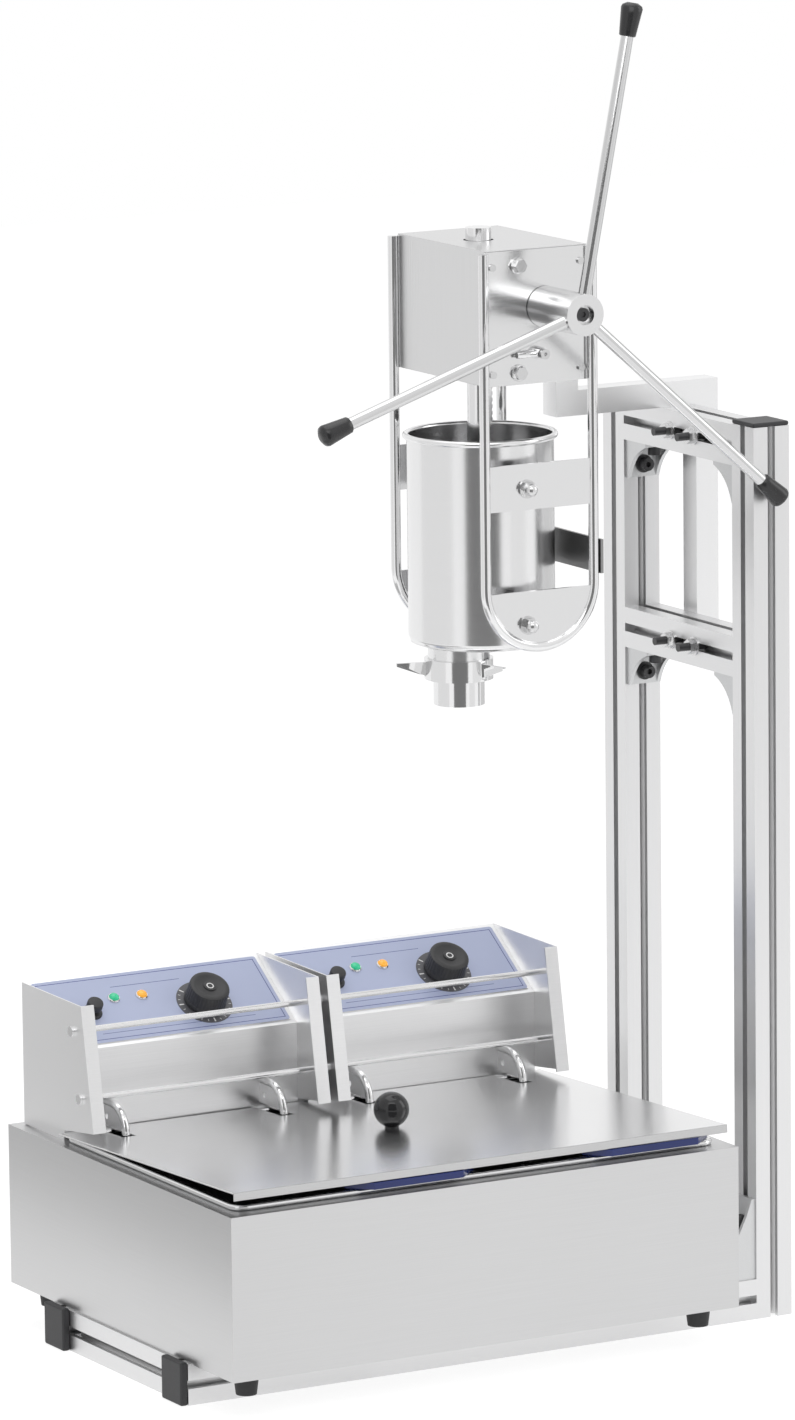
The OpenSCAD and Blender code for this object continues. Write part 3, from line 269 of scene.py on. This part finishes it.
body_steel = steel("brushed stainless, level grain", 0.60, 0.32, LEVEL)
head_steel = steel("brushed stainless, control heads", 0.82, 0.34, BY_X)
cover_steel = steel("brushed stainless, upright grain", 0.64, 0.30, BY_Z)
plate_steel = steel("polished stainless plate", 0.76, 0.16, BY_X, 0.02, POLISH_DEPTH)
tube_steel = steel("brushed support tube", 0.84, 0.32, EVEN, 0.02)
barrel_steel = steel("brushed barrel stainless", 0.78, 0.20, LEVEL, 0.03)
chrome = steel("bright round bar", 0.78, 0.12, BY_Z, 0.02, BAR_DEPTH)
arm_steel = steel("bright arm rod", 0.64, 0.14, BY_Z, 0.03, BAR_DEPTH)
turned = steel("turned steel", 0.76, 0.22, BY_Y, 0.05)
zinc = steel("zinc plated fastener", 0.66, 0.24, BY_Y, 0.08)
anodised = steel("anodised aluminium profile", 0.74, 0.36, BY_Z, 0.04)
anodised_x = steel("anodised aluminium, along X", 0.74, 0.36, BY_X, 0.04)
anodised_y = steel("anodised aluminium, along Y", 0.74, 0.36, BY_Y, 0.04)
# Painted shade: the back strap is made dark grey because its visible side lies in shadow, not because its steel is
# darker.
strap_steel_painted_shade = steel("strap steel darkened as painted shade", 0.30, 0.35, BY_Y, 0.08)
brass = steel("machined brass", (0.78, 0.60, 0.30), 0.25, BY_Z, 0.04)
cast_metal = cast()
lid_steel = lid_metal()
matte_black = plastic("matte black plastic", (0.022, 0.022, 0.024), 0.48)
gloss_black = plastic("gloss black plastic", (0.010, 0.010, 0.011), 0.12, 300.0, 0.000006)
grip_black = plastic("grip black plastic", (0.014, 0.014, 0.015), 0.26, 500.0, 0.00001)
foot_rubber = plastic("black rubber", (0.018, 0.018, 0.019), 0.60, 1200.0, 0.00006)
oxide = plastic("black oxide steel", (0.030, 0.030, 0.032), 0.30, 700.0, 0.00001)
seal_rubber = plastic("red seal rubber", (0.30, 0.05, 0.04), 0.50)
handle_blue = plastic("deep blue handle", (0.006, 0.016, 0.11), 0.14, 400.0, 0.00001)

MATERIAL_OF = {
    "front_upright": anodised, "rear_upright": anodised, "top_cross_rail": anodised_y,
    "mid_cross_rail": anodised_y, "left_cross_rail": anodised_y, "front_foot_rail": anodised_x,
    "rear_foot_rail": anodised_x, "corner_brackets": cast_metal, "upright_caps": matte_black,
    "foot_rail_caps": matte_black, "bracket_screws": oxide, "support_bolts": oxide, "support_nuts": zinc,
    "head_bolts": zinc, "head_screws": zinc, "yoke_bolts": zinc, "hub_screw": oxide, "pawl_screw": zinc,
    "support_bracket": tube_steel, "head_side_plate": cover_steel,
    "head_spacers": turned, "head_rear_plate": plate_steel, "head_front_plate": plate_steel,
    "head_cover": cover_steel, "fryer_body": body_steel, "left_control_head": head_steel,
    "right_control_head": head_steel, "side_guards": head_steel, "left_tank": body_steel,
    "right_tank": body_steel, "barrel": barrel_steel, "nozzle": chrome, "nozzle_ring": chrome,
    "piston": barrel_steel, "front_yoke": chrome, "rear_yoke": chrome, "raised_rim": chrome,
    "guard_rods": chrome, "heating_tubes": chrome, "fryer_lid": lid_steel, "pawl_lever": chrome,
    "handwheel_hub": turned, "handwheel_arms": arm_steel, "rack_rod": chrome, "pinion_shaft": turned,
    "guide_plates": turned, "rod_bushes": brass, "shaft_bushes": brass, "back_strap": strap_steel_painted_shade,
    "arm_grips": grip_black, "lid_knob": gloss_black, "left_thermostat_knob": matte_black,
    "right_thermostat_knob": matte_black, "left_reset_button": matte_black,
    "right_reset_button": matte_black, "dials_and_collars": matte_black, "pilot_lamps": gloss_black,
    "tank_handles": handle_blue, "fryer_feet": foot_rubber, "piston_seal": seal_rubber,
}

for node, material in MATERIAL_OF.items():
    mesh = frame["nodes"][node].data
    mesh.materials.clear()
    mesh.materials.append(material)


# Finished copies of the CAD pieces

MERGE = 0.002 * MM
FLAT_ANGLE = math.radians(0.2)
SHARP_ANGLE = math.radians(32.0)
YOKE_ANGLE = math.radians(14.0)
BEVEL_STEPS = 2
EDGE_WIDTH = {
    "fryer_body": 1.6, "head_cover": 0.5, "head_front_plate": 0.4, "upright_caps": 1.5, "foot_rail_caps": 2.0,
    "side_guards": 0.35, "support_bracket": 0.9, "left_control_head": 0.6, "right_control_head": 0.6,
    "corner_brackets": 0.8, "tank_handles": 2.0, "handwheel_hub": 0.8, "fryer_lid": 0.5,
}
WASHER_LIMIT = {"bracket_screws": 7.2}
TALL_WALLS = ("barrel", "nozzle", "piston")
NEW_PIECES = ("left_thermostat_knob", "right_thermostat_knob", "left_reset_button", "right_reset_button",
              "dials_and_collars", "pilot_lamps")


def add_piece(name, mesh, material, body, slot, *nodes):
    """Links a finished mesh as a piece that rides on a body and may stand for CAD nodes."""
    piece = bpy.data.objects.new(name, mesh)
    bpy.context.scene.collection.objects.link(piece)
    mesh.materials.clear()
    mesh.materials.append(material)
    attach(piece, body)
    if nodes:
        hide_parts(*nodes)
    return piece


def paint_rims(work, limit):
    """Gives slot 1 to the faces that reach past a radius from the long axis of their own solid."""
    left = set(work.faces)
    while left:
        island, edge = [], [left.pop()]
        while edge:
            face = edge.pop()
            island.append(face)
            for near in {f for e in face.edges for f in e.link_faces} & left:
                left.discard(near)
                edge.append(near)
        spots = np.array([v.co for face in island for v in face.verts])
        low, high = spots.min(axis=0), spots.max(axis=0)
        centre, along = (low + high) / 2, int(np.argmax(high - low))
        for face in island:
            away = np.delete(np.array([v.co for v in face.verts]) - centre, along, axis=1)
            if np.linalg.norm(away, axis=1).max() > limit:
                face.material_index = 1


def soften(node):
    """Adds a merged copy of a CAD node, smooth shaded, with a narrow bevel on its sharp edges where an edge width
    is given.
    """
    mesh = frame["nodes"][node].data.copy()
    angle = YOKE_ANGLE if "yoke" in node else SHARP_ANGLE
    work = bmesh.new()
    work.from_mesh(mesh)
    bmesh.ops.remove_doubles(work, verts=work.verts, dist=MERGE)
    bmesh.ops.dissolve_limit(work, angle_limit=FLAT_ANGLE, verts=work.verts, edges=work.edges,
                             delimit={"NORMAL"})
    for face in work.faces:
        face.smooth = True
    if node in WASHER_LIMIT:
        paint_rims(work, WASHER_LIMIT[node] * MM)
    work.to_mesh(mesh)
    work.free()
    mesh.set_sharp_from_angle(angle=angle)
    piece = add_piece(node + "_finished", mesh, MATERIAL_OF[node], BODY_OF[node], SLOT_OF[node], node)
    if node in WASHER_LIMIT:
        mesh.materials.append(zinc)
    if node in EDGE_WIDTH:
        bevel = piece.modifiers.new("edges", "BEVEL")
        bevel.width = EDGE_WIDTH[node] * MM
        bevel.segments = BEVEL_STEPS
        bevel.limit_method = "ANGLE"
        bevel.angle_limit = angle
        bevel.harden_normals = True
    if node in TALL_WALLS:
        piece.modifiers.new("even_shading", "WEIGHTED_NORMAL").keep_sharp = True


for node in MATERIAL_OF:
    if node not in NEW_PIECES:
        soften(node)


# Helpers for new pieces

NEW_MERGE = 0.0001 * MM
NEW_SHARP = math.radians(35.0)


def basis(place, axis):
    """A matrix that stands local +Z on an axis, with local +X along world X."""
    up = Vector(axis).normalized()
    across = Vector((1.0, 0.0, 0.0))
    across = (across - up * across.dot(up)).normalized()
    turn = Matrix((across, up.cross(across), up)).transposed().to_4x4()
    return Matrix.Translation(Vector(place)) @ turn


def grid_mesh(name, x, y, z):
    """A mesh over a grid of points whose second direction closes on itself. Points that meet at a pole
    are merged."""
    rows, steps = x.shape
    points = np.stack([x, y, z], axis=-1).reshape(-1, 3)
    low = (np.arange(rows - 1)[:, None] * steps + np.arange(steps)).ravel()
    next_low = (np.arange(rows - 1)[:, None] * steps + (np.arange(steps) + 1) % steps).ravel()
    faces = np.stack([low, next_low, next_low + steps, low + steps], axis=-1)
    mesh = bpy.data.meshes.new(name)
    mesh.from_pydata(points.tolist(), [], faces.tolist())
    work = bmesh.new()
    work.from_mesh(mesh)
    bmesh.ops.remove_doubles(work, verts=work.verts, dist=NEW_MERGE)
    for face in work.faces:
        face.smooth = True
    work.to_mesh(mesh)
    work.free()
    return mesh


def lathe(name, profile, steps, flute=None):
    """A closed turned mesh. Point (r, z) of the profile, in millimetres, becomes the ring
    (r k cos t, r k sin t, z), where k = flute(t, z) or 1; r = 0 gives a pole."""
    r, z = MM * np.array(profile, dtype=float).T[:, :, None]
    turn = np.arange(steps)[None, :] * (2 * math.pi / steps)
    wide = r * (1.0 if flute is None else flute(turn, z))
    return grid_mesh(name, wide * np.cos(turn), wide * np.sin(turn), z + 0 * turn)


def slab(name, w, d, low, high, radius, corner_steps=6):
    """A flat plate with rounded corners. At turn t its edge is the corner's centre
    (+-(w/2 - r), +-(d/2 - r)) plus r (cos t, sin t), and its two faces close at the middle."""
    quarter = np.arange(4).repeat(corner_steps + 1)
    turn = math.pi / 2 * (quarter + np.tile(np.arange(corner_steps + 1) / corner_steps, 4))
    side = np.array([(1, 1), (-1, 1), (-1, -1), (1, -1)])[quarter]
    x = side[:, 0] * (w / 2 - radius) + radius * np.cos(turn)
    y = side[:, 1] * (d / 2 - radius) + radius * np.sin(turn)
    share = np.array([0.0, 1.0, 1.0, 0.0])[:, None]
    level = np.array([low, low, high, high])[:, None]
    return grid_mesh(name, share * x, share * y, level + 0 * x)


def lifted(mesh, height):
    mesh.transform(Matrix.Translation((0, 0, height)))
    return mesh


def placed(mesh, matrix):
    mesh.transform(matrix)
    mesh.set_sharp_from_angle(angle=NEW_SHARP)
    return mesh


def joined(name, meshes):
    """One mesh out of several."""
    work = bmesh.new()
    for mesh in meshes:
        work.from_mesh(mesh)
    whole = bpy.data.meshes.new(name)
    work.to_mesh(whole)
    work.free()
    return whole


# Sloping panels, worked out from the knobs' joints

PANEL_RUN = 82 * MM
PANEL_RISE = 55 * MM
PANEL_LENGTH = math.hypot(PANEL_RUN, PANEL_RISE)
PANEL_SLOPE = math.atan2(PANEL_RISE, PANEL_RUN)
PANEL_T = 1 * MM
PANEL_EDGE = 5 * MM
PANEL_CORNER = 3 * MM
PRINT_T = 0.3 * MM
CONTROL_W = 257.5 * MM

# Places on a panel, from its lower left corner
KNOB = (173 * MM, 41 * MM)
GREEN = (82 * MM, 61 * MM)
AMBER = (112.5 * MM, 60.5 * MM)
RESET = (52 * MM, 46 * MM)

# Heights over a panel
KNOB_LIFT = 2.2 * MM
RESET_LIFT = 6.3 * MM
STEM_LIFT = -3.3 * MM

# Printed lines: how far the border is in, half its width, and for each short rule its place up the
# panel and across it, both from the middle, and half its length
BORDER_IN = PANEL_EDGE + 4 * MM
BORDER_HALF = 0.45 * MM
RULE_HALF = 0.35 * MM
RULES = ((27 * MM, -6 * MM, 38 * MM), (-33 * MM, 6 * MM, 84 * MM))

# Ticks of a dial: degrees from one to the next, where a tick starts as a share of half that step
# from its middle, and the inner and outer radius
SHORT_TICKS = (15.0, 0.455, 24.6 * MM, 27 * MM)
LONG_TICKS = (45.0, 0.465, 22.6 * MM, 27.6 * MM)
SCALE_START, SCALE_END = 40.0, 320.0

# The light ring on a knob's top: radius, half its width, and the height over which it shows
KNOB_RING, RING_HALF, RING_HEIGHT = 3.2 * MM, 0.6 * MM, 22.5 * MM
KNOB_GRAIN_DEPTH = 0.00002


def panel_matrix(side):
    """Origin at the lower left corner of one panel: x across, y up the slope, z off it."""
    knob = JOINTS[side + "_knob_turn"]
    return basis(knob["pos_m"], knob["axis"]) @ Matrix.Translation((-KNOB[0], -KNOB[1], 0.0))


def print_material(side):
    """Periwinkle sheet with a dark border line inside its edge and two short rules."""
    paint = Paint(side + " panel print", roughness=0.38, coat_weight=0.3)
    centre = panel_matrix(side) @ Vector((CONTROL_W / 2, PANEL_LENGTH / 2, 0.0))
    x, y, z = paint.axes()
    up = (y - centre.y) * math.cos(PANEL_SLOPE) + (z - centre.z) * math.sin(PANEL_SLOPE)
    across = x - centre.x
    off_side = abs(across) - (CONTROL_W / 2 - BORDER_IN)
    off_end = abs(up) - (PANEL_LENGTH / 2 - BORDER_IN)
    ink = abs(off_side | off_end) < BORDER_HALF
    for high, along, half in RULES:
        ink = ink | ((abs(up - high) < RULE_HALF) * (abs(across - along) < half))
    sheet = paint.blend(paint.noise(9.0), (0.42, 0.47, 0.66), (0.48, 0.53, 0.72))
    paint.set(base_color=paint.blend(ink, sheet, (0.09, 0.11, 0.32)))
    return paint.material


def from_knob(paint, side):
    """The Object coordinates from the middle of a knob's foot, and the knob's axis."""
    knob = JOINTS[side + "_knob_turn"]
    return [place - middle for place, middle in zip(paint.axes(), knob["pos_m"])], Vector(knob["axis"])


def distance(across, up):
    return (across * across + up * up).math("SQRT")


def dial_material(side):
    """Dark dial ring with white ticks in polar steps round the knob's axis."""
    paint = Paint(side + " dial print", roughness=0.35)
    (across, back, rise), axis = from_knob(paint, side)
    up = back * axis.z - rise * axis.y
    away = distance(across, up)
    turn = across.math("ARCTAN2", up * -1.0) * (180 / math.pi) + 180.0
    short, long = ((abs((turn * (1 / step)).math("FRACT") - 0.5) > start) * ((away > inner) * (away < outer))
                   for step, start, inner, outer in (SHORT_TICKS, LONG_TICKS))
    ticks = (short | long) * ((turn > SCALE_START) * (turn < SCALE_END))
    paint.set(base_color=paint.blend(ticks, (0.10, 0.10, 0.11), (0.80, 0.80, 0.80)))
    return paint.material


def knob_material(side):
    """Matte black with one small light ring on the knob's top."""
    paint = Paint(side + " knob with ring", roughness=0.45)
    (across, back, rise), axis = from_knob(paint, side)
    away = distance(across, back * axis.z - rise * axis.y)
    off = back * axis.y + rise * axis.z
    ring = (abs(away - KNOB_RING) < RING_HALF) * (off > RING_HEIGHT)
    grain = paint.noise(MOULD_SCALE)
    black = paint.blend(grain, (0.018, 0.018, 0.019), (0.030, 0.030, 0.032))
    paint.set(base_color=paint.blend(ring, black, (0.75, 0.75, 0.75)),
              normal=paint.bump(grain, KNOB_GRAIN_DEPTH))
    return paint.material


def lens(name, colour):
    """Clear coloured lens with a faint glow."""
    paint = Paint(name, roughness=0.12, coat_weight=0.5, emission_color=colour, emission_strength=0.25)
    paint.set(base_color=paint.blend(paint.noise(220.0), colour, tint(colour, 1.6)))
    return paint.material


green_lens = lens("green lens", (0.010, 0.42, 0.20))
amber_lens = lens("amber lens", (0.80, 0.36, 0.03))

# Profiles to be turned: radius and height in millimetres
DIAL_PROFILE = [(0, 0), (28.5, 0), (28.5, 0.9), (28.2, 1.25), (0, 1.25)]
KNOB_PROFILE = [(0, 0), (20.2, 0), (21, 0.8), (21, 4.2), (20.6, 5), (20.3, 6.5), (20.3, 18.6), (19.7, 20.2),
                (18.3, 21), (14.5, 20.9), (13.4, 20.3), (6.5, 20.0), (6.3, 20.9), (5.8, 21), (0, 21)]
LENS_PROFILE = [(0, 0.2), (5.1, 0.2), (5.1, 2.6), (4.8, 3.4), (4.1, 4.2), (3.0, 4.8), (1.6, 5.2), (0, 5.3)]
BEZEL_PROFILE = [(0, 0), (6.5, 0), (6.5, 0.9), (6.1, 2.0), (5.4, 2.6), (5.0, 2.4), (5.0, 0.4), (0, 0.4)]
RESET_PROFILE = [(0, 0), (7.0, 0), (7.6, 0.8), (8.0, 2.4), (8.0, 7.2), (7.5, 8.5), (6.3, 9), (0, 9)]
STEM_PROFILE = [(0, -3), (3, -3), (3, 6), (0, 6)]
COLLAR_PROFILE = [(0, 0), (10, 0), (10, 1.6), (9.2, 2.8), (8.2, 3), (3.2, 3), (3.2, 0.2), (0, 0.2)]

DIAL_STEPS = 96
KNOB_STEPS = 288
LAMP_STEPS = 48
RESET_STEPS = 64
STEM_STEPS = 32
FLUTES = 36
FLUTE_DEPTH = 0.018
FLUTE_LOW, FLUTE_HIGH = 5.5 * MM, 19.5 * MM


def knob_flute(t, z):
    """Shallow grip flutes on the upper wall only."""
    return 1.0 - FLUTE_DEPTH * (0.5 - 0.5 * np.cos(FLUTES * t)) * ((z > FLUTE_LOW) & (z < FLUTE_HIGH))


def dress_panel(side):
    """Print, dial, knob, lamps and reset button of one control head."""
    corner = panel_matrix(side)

    def on(u, v, height=PANEL_T):
        return corner @ Matrix.Translation((u, v, height))

    def add(name, mesh, at, material, slot, body="base", *nodes):
        add_piece(side + name, placed(mesh, at), material, body, slot, *nodes)

    sheet = slab(side + "_panel_print", CONTROL_W - 2 * PANEL_EDGE, PANEL_LENGTH - 2 * PANEL_EDGE,
                 PANEL_T, PANEL_T + PRINT_T, PANEL_CORNER)
    add("_panel_print", sheet, on(CONTROL_W / 2, PANEL_LENGTH / 2, 0.0), print_material(side), "dial_grey")

    dial = lathe(side + "_dial", DIAL_PROFILE, DIAL_STEPS)
    add("_dial_face", dial, on(*KNOB), dial_material(side), "dial_grey")
    knob = lifted(lathe(side + "_knob", KNOB_PROFILE, KNOB_STEPS, knob_flute), KNOB_LIFT)
    add("_knob_cap", knob, on(*KNOB), knob_material(side), "knob_black", side + "_knob",
        side + "_thermostat_knob")

    for name, spot, material in (("green", GREEN, green_lens), ("amber", AMBER, amber_lens)):
        bezel = lathe(name, BEZEL_PROFILE, LAMP_STEPS)
        add("_" + name + "_bezel", bezel, on(*spot), chrome, "lamp_lens")
        dome = lathe(name, LENS_PROFILE, LAMP_STEPS)
        add("_" + name + "_lens", dome, on(*spot), material, "lamp_lens")

    collar = lathe(side + "_collar", COLLAR_PROFILE, RESET_STEPS)
    add("_reset_collar", collar, on(*RESET), matte_black, "dial_grey")
    cap = lathe(side + "_cap", RESET_PROFILE, RESET_STEPS)
    stem = lifted(lathe(side + "_stem", STEM_PROFILE, STEM_STEPS), STEM_LIFT)
    button = lifted(joined(side + "_reset", [cap, stem]), RESET_LIFT)
    add("_reset_cap", button, on(*RESET), matte_black, "knob_black", side + "_reset", side + "_reset_button")


for side in ("left", "right"):
    dress_panel(side)

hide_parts("dials_and_collars")
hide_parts("pilot_lamps")


# Stage

FLOOR_HALF = 8.0
FLOOR_GLOW = 1.32
FLOOR_GLOW_SHARE = 0.62
WORLD_DIM = 0.55

# Lamps: name, place, target, width and height, power
LAMPS = (
    ("key_lamp", (-1.6, -3.2, 3.0), (0.0, 0.0, 0.6), (3.2, 3.2), 46.0),
    ("top_lamp", (0.0, 0.2, 4.0), (0.0, 0.0, 0.3), (3.0, 3.0), 30.0),
    ("fill_lamp", (3.0, -1.5, 2.0), (0.0, 0.0, 0.5), (1.5, 2.5), 16.0),
)

# Cards: name, place, width and height, turn in degrees, grey level
CARDS = (
    ("right_card", (2.3, 0.55, 0.8), (1.7, 3.0), 90.0, 0.72),
    ("front_right_card", (1.05, -1.75, 0.9), (1.0, 1.6), 29.0, 0.92),
    ("front_card", (-0.40, -0.91, 0.8), (1.0, 1.0), -26.0, 0.20),
    ("left_card", (-1.9, 0.5, 0.8), (2.4, 3.0), 75.0, 0.88),
    ("low_left_card", (-0.62, 0.35, 0.16), (1.3, 0.32), 90.0, 0.52),
)


def flat(name, corners, material):
    """A stage piece of one face."""
    mesh = bpy.data.meshes.new(name)
    mesh.from_pydata(corners, [], [(0, 1, 2, 3)])
    mesh.materials.append(material)
    made = bpy.data.objects.new(name, mesh)
    bpy.context.scene.collection.objects.link(made)
    return made


def card(name, place, size, turn, level):
    """A grey card beside the stage that only reflections see."""
    w, h = size[0] / 2, size[1] / 2
    paint = Paint(name, base_color=(0.0, 0.0, 0.0), emission_color=(1.0, 1.0, 1.0), emission_strength=level,
                  roughness=1.0)
    made = flat(name, [(-w, 0, -h), (w, 0, -h), (w, 0, h), (-w, 0, h)], paint.material)
    made.location = place
    made.rotation_euler = (0, 0, math.radians(turn))
    made.visible_camera = False
    made.visible_shadow = False
    made.visible_diffuse = False


def lamp(name, place, target, size, power):
    data = bpy.data.lights.new(name, "AREA")
    data.shape = "RECTANGLE"
    data.size, data.size_y = size
    data.energy = power
    made = bpy.data.objects.new(name, data)
    made.location = place
    aim = Vector(target) - Vector(place)
    made.rotation_euler = aim.to_track_quat("-Z", "Y").to_euler()
    bpy.context.scene.collection.objects.link(made)


def make_world():
    """White world that lights diffuse surfaces less than it shows to the camera and in reflections."""
    world = bpy.data.worlds.new("studio")
    bpy.context.scene.world = world
    world.use_nodes = True
    tree = world.node_tree
    path = tree.nodes.new("ShaderNodeLightPath")
    either, seen = (tree.nodes.new("ShaderNodeMath") for _ in range(2))
    either.operation = seen.operation = "MAXIMUM"
    tree.links.new(path.outputs["Is Glossy Ray"], either.inputs[0])
    tree.links.new(path.outputs["Is Transmission Ray"], either.inputs[1])
    tree.links.new(path.outputs["Is Camera Ray"], seen.inputs[0])
    tree.links.new(either.outputs[0], seen.inputs[1])
    strength = tree.nodes.new("ShaderNodeMapRange")
    strength.inputs["To Min"].default_value = WORLD_DIM
    strength.inputs["To Max"].default_value = 1.0
    tree.links.new(seen.outputs[0], strength.inputs["Value"])
    background = tree.nodes["Background"]
    background.inputs["Color"].default_value = (1.0, 1.0, 1.0, 1.0)
    tree.links.new(strength.outputs["Result"], background.inputs["Strength"])


def floor_material():
    """White floor that keeps a soft shadow under a glow, which diffuse rays don't see."""
    paint = Paint("floor white", roughness=0.9, base_color=(0.92, 0.92, 0.92))
    glow = paint.node("ShaderNodeEmission", None, {"Strength": FLOOR_GLOW})
    ray = paint.tree.nodes.new("ShaderNodeLightPath")
    camera, glossy, through = (Value(paint, ray.outputs["Is " + kind + " Ray"])
                               for kind in ("Camera", "Glossy", "Transmission"))
    share = (camera + glossy + through).math("MINIMUM", 1.0) * FLOOR_GLOW_SHARE
    surface = Value(paint, paint.surface.outputs[0])
    mixed = paint.node("ShaderNodeMixShader", None, {0: share, 1: surface, 2: glow})
    paint.put(paint.tree.nodes["Material Output"].inputs["Surface"], mixed)
    return paint.material


make_world()
flat("floor", [(-FLOOR_HALF, -FLOOR_HALF, 0), (FLOOR_HALF, -FLOOR_HALF, 0), (FLOOR_HALF, FLOOR_HALF, 0),
               (-FLOOR_HALF, FLOOR_HALF, 0)], floor_material())
for row in LAMPS:
    lamp(*row)
for row in CARDS:
    card(*row)

bpy.context.scene.view_settings.view_transform = "Standard"
